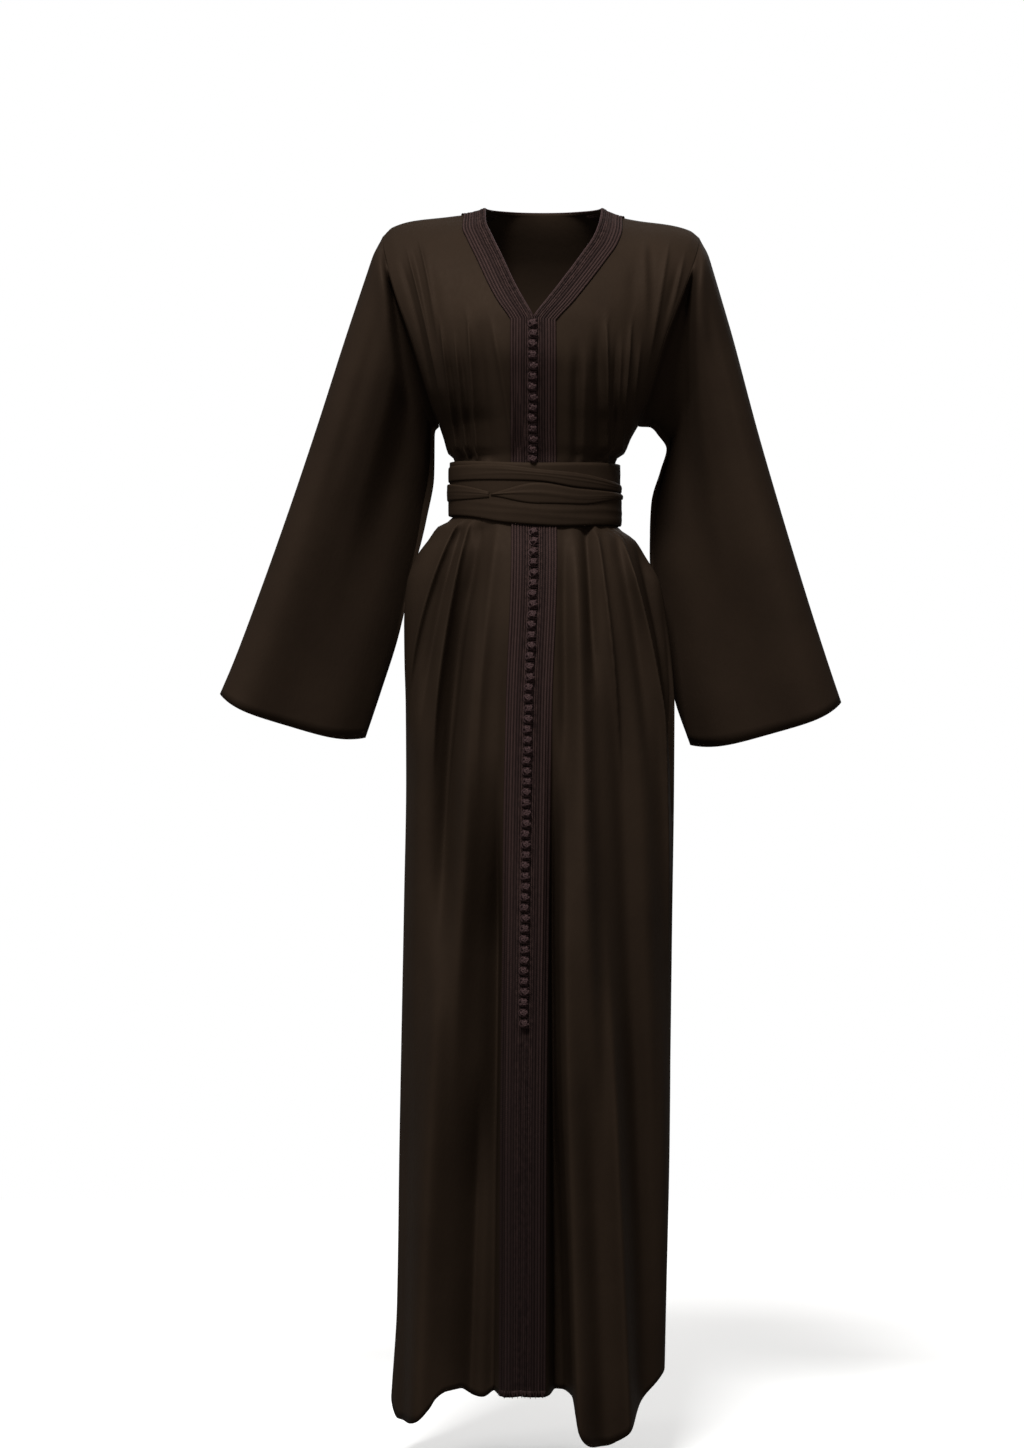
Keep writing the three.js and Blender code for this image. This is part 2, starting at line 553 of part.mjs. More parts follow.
// Triangles of a closed wall from its outer and inner grids.
function wallMesh(outer, inner, wrap, flip) {
  const positions = [];
  const faces = [];
  const indexOf = (grid, offset) => (i, j) => offset + i * grid[0].length + (j % grid[0].length);
  for (const row of [...outer, ...inner]) for (const p of row) positions.push(p.x, p.y, p.z);
  const out = indexOf(outer, 0);
  const back = indexOf(inner, outer.length * outer[0].length);
  const quad = (a, b, c, d) => {
    if (flip) faces.push(a, c, b, a, d, c);
    else faces.push(a, b, c, a, c, d);
  };
  const lastRow = outer.length - 1;
  const columns = outer[0].length;
  const spans = wrap ? columns : columns - 1;
  for (let i = 0; i < lastRow; i += 1) {
    for (let j = 0; j < spans; j += 1) {
      quad(out(i, j), out(i, j + 1), out(i + 1, j + 1), out(i + 1, j));
      quad(back(i, j), back(i + 1, j), back(i + 1, j + 1), back(i, j + 1));
    }
  }
  for (let j = 0; j < spans; j += 1) {
    quad(out(0, j), back(0, j), back(0, j + 1), out(0, j + 1));
    quad(out(lastRow, j), out(lastRow, j + 1), back(lastRow, j + 1), back(lastRow, j));
  }
  if (!wrap) {
    const last = columns - 1;
    for (let i = 0; i < lastRow; i += 1) {
      quad(out(i, 0), out(i + 1, 0), back(i + 1, 0), back(i, 0));
      quad(out(i, last), back(i, last), back(i + 1, last), out(i + 1, last));
    }
  }
  const geometry = new THREE.BufferGeometry();
  geometry.setAttribute('position', new THREE.Float32BufferAttribute(positions, 3));
  geometry.setIndex(faces);
  geometry.computeVertexNormals();
  return geometry;
}

const offsetGrid = (grid, normals, distance) =>
  grid.map((row, i) => row.map((point, j) => point.clone().addScaledVector(normals[i][j], distance)));

// A closed solid through rings of points that share one outline.
function loftMesh(rings, outline, flip) {
  const positions = [];
  const faces = [];
  const size = rings[0].length;
  for (const ring of rings) for (const p of ring) positions.push(p.x, p.y, p.z);
  const face = (a, b, c) => (flip ? faces.push(a, c, b) : faces.push(a, b, c));
  for (let i = 0; i + 1 < rings.length; i += 1) {
    for (let j = 0; j < size; j += 1) {
      const next = (j + 1) % size;
      const [a, b, c, d] = [i * size + j, i * size + next, (i + 1) * size + next, (i + 1) * size + j];
      face(a, b, c);
      face(a, c, d);
    }
  }
  const lastRing = (rings.length - 1) * size;
  for (const [a, b, c] of THREE.ShapeUtils.triangulateShape(outline, [])) {
    face(a, c, b);
    face(lastRing + a, lastRing + b, lastRing + c);
  }
  const geometry = new THREE.BufferGeometry();
  geometry.setAttribute('position', new THREE.Float32BufferAttribute(positions, 3));
  geometry.setIndex(faces);
  geometry.computeVertexNormals();
  return geometry;
}

// ---- the body's panels ----
// Normals at the seams lie in the seam's own plane, so both walls end on it.
function settleSeams(side, normals) {
  normals.forEach((row, i) => {
    const level = rows[i];
    const atCentre = side !== 'back' && !(level.rise > vPointRise);
    if (atCentre) row[0].setX(0).normalize();
    if (level.rise === undefined) {
      row[row.length - 1].setY(0).normalize();
      if (side === 'back') row[0].setY(0).normalize();
    }
  });
  for (const normal of normals[normals.length - 1]) {
    const onNeck = side === 'back' && Math.abs(normal.y) > Math.abs(normal.z);
    if (!onNeck) normal.setY(0).normalize();
  }
}

function makePanel(side) {
  const grid = panelGrid(side, side === 'back' ? backAcross : (level) => frontAcross(side, level));
  const flip = side !== 'left';
  const normals = gridNormals(grid, false, flip);
  settleSeams(side, normals);
  return { grid, normals, flip };
}

// ---- sleeves ----
// The armhole as a ring: from the armpit up the front to the shoulder and down the
// back, with the normals of the panels that end there.
function armholeRing(side, front, back) {
  const backColumn = side === 'right' ? 0 : back.grid[0].length - 1;
  const frontColumn = front.grid[0].length - 1;
  const top = rows.length - 1;
  const ring = [];
  for (let i = armpitRow; i <= top; i += 1) {
    ring.push({ point: front.grid[i][frontColumn], normals: [front.normals[i][frontColumn]] });
  }
  for (let i = top - 1; i > armpitRow; i -= 1) {
    ring.push({ point: back.grid[i][backColumn], normals: [back.normals[i][backColumn]] });
  }
  for (const i of [armpitRow, top]) ring[i - armpitRow].normals.push(back.normals[i][backColumn]);
  return ring;
}

function sleeveSection(side, along, count) {
  const level = Object.fromEntries(
    ['outerX', 'outerZ', 'innerX', 'innerZ', 'innerY', 'depth'].map((name) =>
      [name, through(sleeveLevels[side], 'along', name)(along)]),
  );
  const inner = new THREE.Vector3(level.innerX, level.innerY, level.innerZ);
  const outer = new THREE.Vector3(level.outerX, 0, level.outerZ);
  const chord = outer.clone().sub(inner);
  const down = new THREE.Vector3(chord.z, 0, -chord.x).normalize();
  if (down.z > 0) down.negate();
  const section = [];
  for (let i = 0; i < count; i += 1) {
    const turn = i / count;
    const cosine = Math.cos(turn * 2 * Math.PI);
    const sine = Math.sin(turn * 2 * Math.PI);
    let depth = level.depth * (1 - sleeveTaper * cosine);
    for (const fold of sleeveFolds) {
      const bump = Math.exp(-(((turn - fold.at) / fold.width) ** 2));
      depth += fold.height * smooth(along / sleeveFoldStart) * bump;
    }
    const point = inner.clone().addScaledVector(chord, (1 - cosine) / 2);
    point.y -= depth * sine;
    if (along === 1) point.addScaledVector(down, cuffDrop * (1 - cosine ** cuffSquareness));
    section.push(point);
  }
  return section;
}

function makeSleeve(side, front, back) {
  const ring = armholeRing(side, front, back);
  const sections = sleeveStations.map((along) => sleeveSection(side, along, ring.length));
  const first = ring.map(({ point }, i) => {
    const out = sections[0][i].clone().sub(point).normalize();
    return point.clone().addScaledVector(out, seamGap);
  });
  const grid = [first, ...sections];
  const flip = side === 'left';
  const normals = gridNormals(grid, true, flip);
  // where the sleeve goes on from the body, both walls end on one plane
  ring.forEach((place, i) => {
    const shared = place.normals.reduce((sum, n) => sum.add(n), new THREE.Vector3()).normalize();
    if (shared.dot(normals[0][i]) < runOnCosine) return;
    shared.add(normals[0][i]).normalize();
    if (place.normals.length > 1) shared.setY(0).normalize();
    normals[0][i].copy(shared);
    for (const normal of place.normals) normal.copy(shared);
  });
  return { grid, normals, flip };
}

// ---- braid ----
// The braid's section as width across it and height off the panel: a flat inner part
// by the buttons, then the raised cords.
function braidOutline() {
  const outline = [
    new THREE.Vector2(braidWidth, seamGap),
    new THREE.Vector2(braidWidth * flatShare, seamGap),
    new THREE.Vector2(0, seamGap),
    new THREE.Vector2(0, seamGap + braidGround),
  ];
  const start = braidWidth - cordedWidth;
  const pitch = cordedWidth / cordCount;
  for (let i = 0; i < cordCount; i += 1) {
    outline.push(new THREE.Vector2(start + pitch * i, seamGap + braidGround));
    outline.push(new THREE.Vector2(start + pitch * (i + 0.5), seamGap + braidGround + cordHeight));
  }
  outline.push(new THREE.Vector2(braidWidth, seamGap + braidGround));
  return outline.reverse();
}

function frontBraid(side, panel) {
  const outline = braidOutline();
  const rings = panel.grid.map((row, i) => outline.map(({ x: width, y: height }) => {
    const share = width / braidWidth;
    const [a, t] = share < flatShare ? [0, share / flatShare] : [1, (share - flatShare) / (1 - flatShare)];
    const normal = panel.normals[i][a].clone().lerp(panel.normals[i][a + 1], t).normalize();
    return row[a].clone().lerp(row[a + 1], t).addScaledVector(normal, height);
  }));
  return loftMesh(rings, outline, side === 'left');
}

// The braid round the back of the neck, from shoulder seam to shoulder seam.
function neckBraid() {
  const outline = braidOutline();
  const acrossPerMm = (1 - neckShare) / (armhole.left(1) - neckHalfWidth);
  const place = (share, width) => {
    const angle = share * Math.PI;
    const across = neckShare * (2 * share - 1) - Math.cos(angle) * acrossPerMm * width;
    return [across, 1 - Math.sin(angle) * neckRisePerMm * width];
  };
  const pointAt = (share, width) => {
    const [across, rise] = place(share, width);
    return surface('back', across, { rise });
  };
  const rings = [];
  for (let i = 0; i <= neckBraidSteps; i += 1) {
    const share = i / neckBraidSteps;
    const nudge = i === neckBraidSteps ? -0.01 : 0.01;
    rings.push(outline.map(({ x: width, y: height }) => {
      const point = pointAt(share, width);
      const along = pointAt(share + nudge, width).sub(point).multiplyScalar(Math.sign(nudge));
      const across = pointAt(share, width + 1).sub(point);
      const normal = across.cross(along).normalize();
      if (normal.y + normal.z < 0) normal.negate();
      if (i === 0 || i === neckBraidSteps) normal.setY(0).normalize();
      return point.addScaledVector(normal, height + neckBraidLift);
    }));
  }
  return loftMesh(rings, outline, false);
}

// ---- sash ----
// turn is in degrees: 0 at the right side, 90 at the centre front, 180 at the left side
function waistPoint(turn, z, offset) {
  const place = (angle) => {
    const around = (angle + 360) % 360;
    if (around <= 90) return lowerPoint('right', 1 - around / 90, waistZ);
    if (around <= 180) return lowerPoint('left', around / 90 - 1, waistZ);
    return lowerPoint('back', 3 - around / 90, waistZ);
  };
  const ahead = place(turn + 1).sub(place(turn - 1));
  const outward = new THREE.Vector3(ahead.y, -ahead.x, 0).normalize();
  return place(turn).setZ(z).addScaledVector(outward, offset);
}

function makeSash(stretch) {
  const { name, inner, swell, edges } = stretch;
  const ring = stretch.start === undefined;
  const start = ring ? 0 : stretch.start;
  const end = ring ? 360 : stretch.end;
  const top = through(edges, 'x', 'top');
  const bottom = through(edges, 'x', 'bottom');
  const step = 360 / sashColumns;
  const turns = [start];
  for (let turn = Math.ceil((start + 0.5) / step) * step; turn < end - 0.5; turn += step) turns.push(turn);
  if (!ring) turns.push(end);
  const heightAt = (edge, turn) => {
    const onFront = turn >= 0 && turn <= 180;
    if (onFront) return edge(waistPoint(turn, waistZ, 0).x);
    const share = turn < 0 ? -turn / 180 : (360 - turn) / 180;
    return lerp(edge(edges[0].x), edge(edges[edges.length - 1].x), smooth(share));
  };
  const wall = (extra) => {
    const grid = [];
    for (let i = 0; i <= sashRows; i += 1) {
      const rise = i / sashRows;
      grid.push(turns.map((turn) => {
        const z = lerp(heightAt(bottom, turn), heightAt(top, turn), rise);
        return waistPoint(turn, z, inner + extra + (extra > 0 ? swell * Math.sin(rise * Math.PI) : 0));
      }));
    }
    return grid;
  };
  return { name, geometry: wallMesh(wall(sashThickness), wall(0), ring, false) };
}

// ---- buttons ----
function frontPlace(z) {
  const rise = (z - armpitZ) / (neckPointZ - armpitZ);
  return z > armpitZ
    ? new THREE.Vector3(chest.right(Math.min(rise, vPointRise)), chest.front(rise), z)
    : new THREE.Vector3(body.centre(z), body.front(z), z);
}

// A length of knots on their loop cord, one closed string of rings.
function knotString(top, pitch, count) {
  const knotRadius = Math.max(...knotProfile.map(({ radius }) => radius));
  const lift = 2 * seamGap + braidGround + knotRadius + knotClearance;
  const rings = [];
  const ringAt = (distance, radius) => {
    const z = top - distance;
    const centre = frontPlace(z);
    const slope = frontPlace(z + 1).sub(frontPlace(z - 1)).normalize();
    const outward = new THREE.Vector3(0, -slope.z, slope.y).normalize();
    centre.addScaledVector(outward, lift);
    const ring = [];
    for (let i = 0; i < knotSides; i += 1) {
      const angle = (i / knotSides) * 2 * Math.PI;
      ring.push(centre.clone()
        .add(new THREE.Vector3(radius * Math.cos(angle), 0, 0))
        .addScaledVector(outward, radius * Math.sin(angle)));
    }
    rings.push(ring);
  };
  for (let knot = 0; knot < count; knot += 1) {
    const atEnd = knot === count - 1;
    const profile = atEnd ? knotProfile : knotProfile.slice(0, -1);
    for (const { at, radius } of profile) ringAt((knot + at) * pitch, radius);
  }
  const outline = [];
  for (let i = 0; i < knotSides; i += 1) {
    const angle = (i / knotSides) * 2 * Math.PI;
    outline.push(new THREE.Vector2(Math.cos(angle), Math.sin(angle)));
  }
  return loftMesh(rings, outline, false);
}

// ---- assembly ----
const kaftan = new THREE.Group();

function addPiece(name, geometry, finish) {
  const material = new THREE.MeshStandardMaterial({ ...finish, metalness: 0 });
  const mesh = new THREE.Mesh(geometry, material);
  mesh.name = name;
  kaftan.add(mesh);
}

const panels = { right: makePanel('right'), left: makePanel('left'), back: makePanel('back') };
const sleeves = {
  right: makeSleeve('right', panels.right, panels.back),
  left: makeSleeve('left', panels.left, panels.back),
};

const wallOf = ({ grid, normals, flip }, wrap) =>
  wallMesh(grid, offsetGrid(grid, normals, -clothThickness), wrap, flip);

addPiece('front_right', wallOf(panels.right, false), cloth);
addPiece('front_left', wallOf(panels.left, false), cloth);
addPiece('back', wallOf(panels.back, false), cloth);
addPiece('sleeve_right', wallOf(sleeves.right, true), cloth);
addPiece('sleeve_left', wallOf(sleeves.left, true), cloth);
addPiece('braid_right', frontBraid('right', panels.right), braid);
addPiece('braid_left', frontBraid('left', panels.left), braid);
addPiece('braid_back_neck', neckBraid(), braid);
for (const stretch of sashStretches) {
  const { name, geometry } = makeSash(stretch);
  addPiece(name, geometry, sashCloth);
}

let closure = 0;
for (const { top, pitch, lengths } of buttonRuns) {
  let start = top;
  for (const count of lengths) {
    closure += 1;
    const name = `closure_${String(closure).padStart(2, '0')}`;
    addPiece(name, knotString(start, pitch, count), knots);
    start -= count * pitch;
  }
}

export default kaftan;
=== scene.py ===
import math
import bpy
import bmesh
from mathutils import Vector, Matrix


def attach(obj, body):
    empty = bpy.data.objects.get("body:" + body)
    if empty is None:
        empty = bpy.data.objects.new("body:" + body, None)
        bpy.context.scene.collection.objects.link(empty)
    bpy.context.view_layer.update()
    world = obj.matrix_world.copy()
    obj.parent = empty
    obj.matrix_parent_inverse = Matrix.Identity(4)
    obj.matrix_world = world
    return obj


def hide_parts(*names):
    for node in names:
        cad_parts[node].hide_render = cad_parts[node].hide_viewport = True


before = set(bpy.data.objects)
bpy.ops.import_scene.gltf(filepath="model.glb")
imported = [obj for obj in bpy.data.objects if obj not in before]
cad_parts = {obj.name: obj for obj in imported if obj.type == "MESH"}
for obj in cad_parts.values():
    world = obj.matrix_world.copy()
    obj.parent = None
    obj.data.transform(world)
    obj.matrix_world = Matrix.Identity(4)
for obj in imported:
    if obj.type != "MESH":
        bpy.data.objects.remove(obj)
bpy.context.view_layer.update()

# Kaftan with a corded front, knotted buttons and a wound sash. Tables are in millimetres.
# Sides are the wearer's own: right is on -X, and the front faces -Y.
scene = bpy.context.scene
bpy.ops.object.select_all(action="DESELECT")
mm = 0.001

# ---- camera, light and floor ----
studio = {
    "cameraPlace": (-0.0378, -4.0, -0.6144),
    "lens": 82.9,
    "floorHeight": -1.5,
    "floorSize": 4.4,
    "floorGlow": 0.5,
    "skyShade": 0.15,
    # place, aim, size and power of each light
    "lights": {
        "topLight": ((-0.7, -2.7, 3.6), (0, 0, -0.6), (1.3, 1.0), 232.0),
        "rightLight": ((-2.7, -1.0, 0.5), (0, 0, -0.8), (0.8, 2.4), 10.0),
        "leftLight": ((1.5, -3.2, 0.6), (0, 0, -0.8), (0.8, 2.4), 8.0),
        "backLight": ((0.6, 2.8, 1.6), (0, 0, -0.6), (2.4, 2.2), 30.0),
    },
}

camData = bpy.data.cameras.new("camera")
camData.lens = studio["lens"]
camData.sensor_width = 36
camData.clip_end = 100
camera = bpy.data.objects.new("camera", camData)
camera.location = studio["cameraPlace"]
camera.rotation_euler = (math.radians(90), 0, 0)
scene.collection.objects.link(camera)
scene.camera = camera

for name, (place, aim, size, power) in studio["lights"].items():
    lamp = bpy.data.lights.new(name, "AREA")
    lamp.shape = "RECTANGLE"
    lamp.size, lamp.size_y = size
    lamp.energy = power
    holder = bpy.data.objects.new(name, lamp)
    holder.location = place
    holder.rotation_euler = (Vector(aim) - Vector(place)).to_track_quat("-Z", "Y").to_euler()
    scene.collection.objects.link(holder)

sky = bpy.data.worlds.new("paleRoom")
scene.world = sky
sky.use_nodes = True
skyNodes = sky.node_tree
skyNodes.nodes.clear()
skyOut = skyNodes.nodes.new("ShaderNodeOutputWorld")
skyBlend = skyNodes.nodes.new("ShaderNodeMixShader")
skyPath = skyNodes.nodes.new("ShaderNodeLightPath")
skyRoom = skyNodes.nodes.new("ShaderNodeBackground")
skySeen = skyNodes.nodes.new("ShaderNodeBackground")
skyRoom.inputs["Color"].default_value = (1, 0.96, 0.92, 1)
skyRoom.inputs["Strength"].default_value = studio["skyShade"]
skySeen.inputs["Color"].default_value = (1, 1, 1, 1)
skyNodes.links.new(skyPath.outputs["Is Camera Ray"], skyBlend.inputs[0])
skyNodes.links.new(skyRoom.outputs[0], skyBlend.inputs[1])
skyNodes.links.new(skySeen.outputs[0], skyBlend.inputs[2])
skyNodes.links.new(skyBlend.outputs[0], skyOut.inputs[0])
scene.view_settings.view_transform = "Standard"

bpy.ops.mesh.primitive_plane_add(size=studio["floorSize"], location=(0, 0, 0))
floor = bpy.context.active_object
floor.name = "floor"
floor.data.transform(Matrix.Translation((0, 0, studio["floorHeight"])))
floorFinish = bpy.data.materials.new("paleFloor")
floorFinish.use_nodes = True
floorShader = floorFinish.node_tree.nodes["Principled BSDF"]
floorShader.inputs["Base Color"].default_value = (0.92, 0.92, 0.91, 1)
floorShader.inputs["Roughness"].default_value = 0.9
floorShader.inputs["Emission Color"].default_value = (1, 1, 1, 1)
floorShader.inputs["Emission Strength"].default_value = studio["floorGlow"]
floor.data.materials.append(floorFinish)
floor.visible_diffuse = False  # the pale floor throws no light back up
floor.visible_glossy = False
bpy.ops.object.select_all(action="DESELECT")
print("stage: camera, lights and floor set")

# ---- finishes ----
cloth = {
    "lit": (0.0315, 0.0205, 0.0132),
    "deep": (0.0215, 0.0140, 0.0094),
    "roughness": 0.64,
    "gloss": 0.09,
    "glossColour": (0.95, 0.66, 0.48, 1),
    "grainScale": 1500,
    "grainHeight": 0.00012,
    "grainStretch": (1, 1, 0.45),
    "slubScale": 210,
    "slubHeight": 0.0006,
    "mottleScale": 9,
}
braidFinish = {
    "thread": (0.062, 0.036, 0.032),
    # groove: painted shade in the grooves between cords and between the twist's turns
    "groove": (0.0075, 0.0046, 0.0045),
    "roughness": 0.7,
    "twistPitch": 0.0026,
    "innerCords": 4.0,
    # painted shade: the braid's tone falls towards the hem between these heights, in metres
    "paintedShadeBelow": (-1.15, -0.78),
    "height": 0.0004,
}
knotFinish = {
    "thread": (0.088, 0.050, 0.050),
    "groove": (0.016, 0.0095, 0.0100),
    "roughness": 0.6,
    "strandScale": 1040,
    "height": 0.0002,
}


def newFinish(name):
    finish = bpy.data.materials.new(name)
    finish.use_nodes = True
    tree = finish.node_tree
    return finish, tree, tree.nodes["Principled BSDF"]


def addNode(tree, kind, values=None):
    node = tree.nodes.new(kind)
    for key, value in (values or {}).items():
        if key in node.inputs:
            node.inputs[key].default_value = value
        else:
            setattr(node, key, value)
    return node


def mixOf(tree, factor, first, second):
    blend = tree.nodes.new("ShaderNodeMix")
    blend.data_type = "RGBA"
    tree.links.new(factor, blend.inputs[0])
    blend.inputs[6].default_value = (*first, 1)
    blend.inputs[7].default_value = (*second, 1)
    return blend.outputs[2]


def noiseOf(tree, vector, scale, detail, roughness):
    noise = addNode(tree, "ShaderNodeTexNoise", {"Scale": scale, "Detail": detail, "Roughness": roughness})
    tree.links.new(vector, noise.inputs["Vector"])
    return noise.outputs["Fac"]


def placeOf(tree, limits):
    place = addNode(tree, "ShaderNodeTexCoord").outputs["Object"]
    turn = addNode(tree, "ShaderNodeMapping", limits)
    tree.links.new(place, turn.inputs["Vector"])
    return place, turn.outputs["Vector"]


def spreadOf(tree, value, limits):
    spread = addNode(tree, "ShaderNodeMapRange", limits)
    tree.links.new(value, spread.inputs["Value"])
    return spread.outputs["Result"]


def bumpOf(tree, height, strength, distance, under=None):
    bump = addNode(tree, "ShaderNodeBump", {"Strength": strength, "Distance": distance})
    tree.links.new(height, bump.inputs["Height"])
    if under is not None:
        tree.links.new(under, bump.inputs["Normal"])
    return bump.outputs["Normal"]


def setGloss(shader, level, tint):
    shader.inputs["Specular IOR Level"].default_value = level
    shader.inputs["Specular Tint"].default_value = tint


# Crepe: a fine pebbled grain that runs a little longer down the cloth, with faint mottling.
def crepeFinish(name, toneScale):
    finish, tree, shader = newFinish(name)
    place, turn = placeOf(tree, {"Scale": cloth["grainStretch"]})
    grain = noiseOf(tree, turn, cloth["grainScale"], 3, 0.6)
    slub = noiseOf(tree, turn, cloth["slubScale"], 2, 0.5)
    mottle = noiseOf(tree, place, cloth["mottleScale"], 4, 0.55)
    blotch = addNode(tree, "ShaderNodeMath", {"operation": "MULTIPLY_ADD"})
    blotch.inputs[1].default_value = 0.35
    tree.links.new(grain, blotch.inputs[0])
    tree.links.new(mottle, blotch.inputs[2])
    share = spreadOf(tree, blotch.outputs[0], {"From Min": 0.35, "From Max": 0.95})
    lit = tuple(c * w for c, w in zip(cloth["lit"], toneScale))
    deep = tuple(c * w for c, w in zip(cloth["deep"], toneScale))
    tree.links.new(mixOf(tree, share, deep, lit), shader.inputs["Base Color"])
    limits = {"To Min": cloth["roughness"] - 0.06, "To Max": cloth["roughness"] + 0.1}
    tree.links.new(spreadOf(tree, slub, limits), shader.inputs["Roughness"])
    setGloss(shader, cloth["gloss"], cloth["glossColour"])
    wide = bumpOf(tree, slub, 0.35, cloth["slubHeight"])
    tree.links.new(bumpOf(tree, grain, 0.55, cloth["grainHeight"], wide), shader.inputs["Normal"])
    return finish


# Braid: twisted threads on every cord, untidier on the inner ones; painted shade darkens each cord's edges
# and twist grooves, and painted shade darkens the braid towards the hem.
# The braid's own map gives the cord's number with the place across it, and metres along it.
def braidCordFinish(name):
    finish, tree, shader = newFinish(name)
    uv = addNode(tree, "ShaderNodeUVMap", {"uv_map": "braidMap"})
    split = addNode(tree, "ShaderNodeSeparateXYZ")
    tree.links.new(uv.outputs["UV"], split.inputs[0])

    def sumOf(kind, first, second=None, third=None):
        node = tree.nodes.new("ShaderNodeMath")
        node.operation = kind
        for socket, value in enumerate((first, second, third)):
            if isinstance(value, (int, float)):
                node.inputs[socket].default_value = value
            elif value is not None:
                tree.links.new(value, node.inputs[socket])
        return node.outputs[0]

    lane, along = split.outputs[0], split.outputs[1]
    inLane = sumOf("FRACT", lane)
    # painted shade: each cord darkens towards its edges, where it meets the next; the twist's lines are
    # partly its real pattern and partly painted shade in its grooves
    crest = sumOf("SINE", sumOf("MULTIPLY", inLane, math.pi))
    turns = sumOf("MULTIPLY", along, 2 * math.pi / braidFinish["twistPitch"])
    strand = sumOf("MULTIPLY_ADD", sumOf("SINE", sumOf("ADD", turns, sumOf("MULTIPLY", lane, 5.0))), 0.5, 0.5)
    own = addNode(tree, "ShaderNodeTexWhiteNoise", {"noise_dimensions": "1D"})
    tree.links.new(sumOf("FLOOR", lane), own.inputs["W"])
    cordTone = sumOf("MULTIPLY", crest, sumOf("MULTIPLY_ADD", strand, 0.5, 0.4))
    cordTone = sumOf("MULTIPLY", cordTone, sumOf("MULTIPLY_ADD", own.outputs["Value"], 0.7, 0.66))
    place, stretch = placeOf(tree, {"Scale": (1, 1, 0.22)})
    fuzz = noiseOf(tree, stretch, 1100, 3, 0.7)
    tangle = noiseOf(tree, place, 260, 3, 0.75)
    isInner = sumOf("LESS_THAN", lane, braidFinish["innerCords"])
    loose = sumOf("MULTIPLY", sumOf("SUBTRACT", tangle, 0.55), sumOf("MULTIPLY_ADD", isInner, 1.5, 0.6))
    rough = sumOf("MULTIPLY", sumOf("SUBTRACT", fuzz, 0.5), 0.7)
    tone = sumOf("ADD", cordTone, sumOf("ADD", loose, rough))
    upright = addNode(tree, "ShaderNodeSeparateXYZ")
    tree.links.new(place, upright.inputs[0])
    # painted shade: the braid darkens to 0.42 of its tone towards the hem
    low, high = braidFinish["paintedShadeBelow"]
    limits = {"From Min": low, "From Max": high, "To Min": 0.42, "To Max": 1.0}
    tone = sumOf("MULTIPLY", tone, spreadOf(tree, upright.outputs["Z"], limits))
    colour = mixOf(tree, tone, braidFinish["groove"], braidFinish["thread"])
    tree.links.new(colour, shader.inputs["Base Color"])
    shader.inputs["Roughness"].default_value = braidFinish["roughness"]
    setGloss(shader, 0.1, (0.9, 0.68, 0.62, 1))
    tree.links.new(bumpOf(tree, tone, 0.8, braidFinish["height"]), shader.inputs["Normal"])
    return finish


# Knots, loops and piping: fine wound strands.
def strandFinish(name, tones):
    finish, tree, shader = newFinish(name)
    turn = placeOf(tree, {"Rotation": (0.5, 0.3, 0.7), "Scale": (1, 0.35, 1)})[1]
    strand = noiseOf(tree, turn, tones["strandScale"], 3, 0.6)
    share = spreadOf(tree, strand, {"From Min": 0.3, "From Max": 0.7})
    tree.links.new(mixOf(tree, share, tones["groove"], tones["thread"]), shader.inputs["Base Color"])
    shader.inputs["Roughness"].default_value = tones["roughness"]
    setGloss(shader, 0.2, (0.9, 0.68, 0.64, 1))
    tree.links.new(bumpOf(tree, strand, 0.6, tones["height"]), shader.inputs["Normal"])
    return finish


# each piece's copy of the crepe is scaled: the sleeves' copy is about 8% darker as painted shade, and the
# sash's copy about 5% lighter
bodyCrepe = crepeFinish("bodyCrepe", (0.99, 0.98, 0.99))
sleeveShadedCrepe = crepeFinish("sleeveShadedCrepe", (0.92, 0.91, 0.93))
sashCrepe = crepeFinish("sashCrepe", (1.05, 1.04, 1.04))
braidCords = braidCordFinish("braidCords")
knotCord = strandFinish("knotCord", knotFinish)
darkTones = {**knotFinish, "thread": (0.022, 0.013, 0.012), "groove": (0.007, 0.0045, 0.0045)}
braidDark = strandFinish("braidDark", darkTones)
print("stage: finishes ready")


# ---- curves through the tables ----
def lerp(a, b, t):
    return a + (b - a) * t


def clamp(t):
    return min(1.0, max(0.0, t))


def smooth(t):
    t = clamp(t)
    return t * t * (3 - 2 * t)


# a smooth curve through the rows that never overshoots them
def curveOf(shape, output):
    names = shape["columns"]
    pick = names.index(output)
    rows = sorted((row[0], row[pick]) for row in shape["rows"])
    x = [row[0] for row in rows]
    y = [row[1] for row in rows]
    rate = [(y[i + 1] - y[i]) / (x[i + 1] - x[i]) for i in range(len(x) - 1)]
    slope = [rate[0]]
    for i in range(1, len(x) - 1):
        a, b = rate[i - 1], rate[i]
        slope.append(0.0 if a * b <= 0 else 2 * a * b / (a + b))
    slope.append(rate[-1])

    def at(value):
        if value <= x[0]:
            return y[0]
        if value >= x[-1]:
            return y[-1]
        i = 0
        while x[i + 1] <= value:
            i += 1
        step = x[i + 1] - x[i]
        t = (value - x[i]) / step
        start = (1 + 2 * t) * (1 - t) ** 2 * y[i] + t * (1 - t) ** 2 * step * slope[i]
        return start + t * t * (3 - 2 * t) * y[i + 1] + t * t * (t - 1) * step * slope[i + 1]

    return at


def curvesOf(shape):
    return {name: curveOf(shape, name) for name in shape["columns"][1:]}


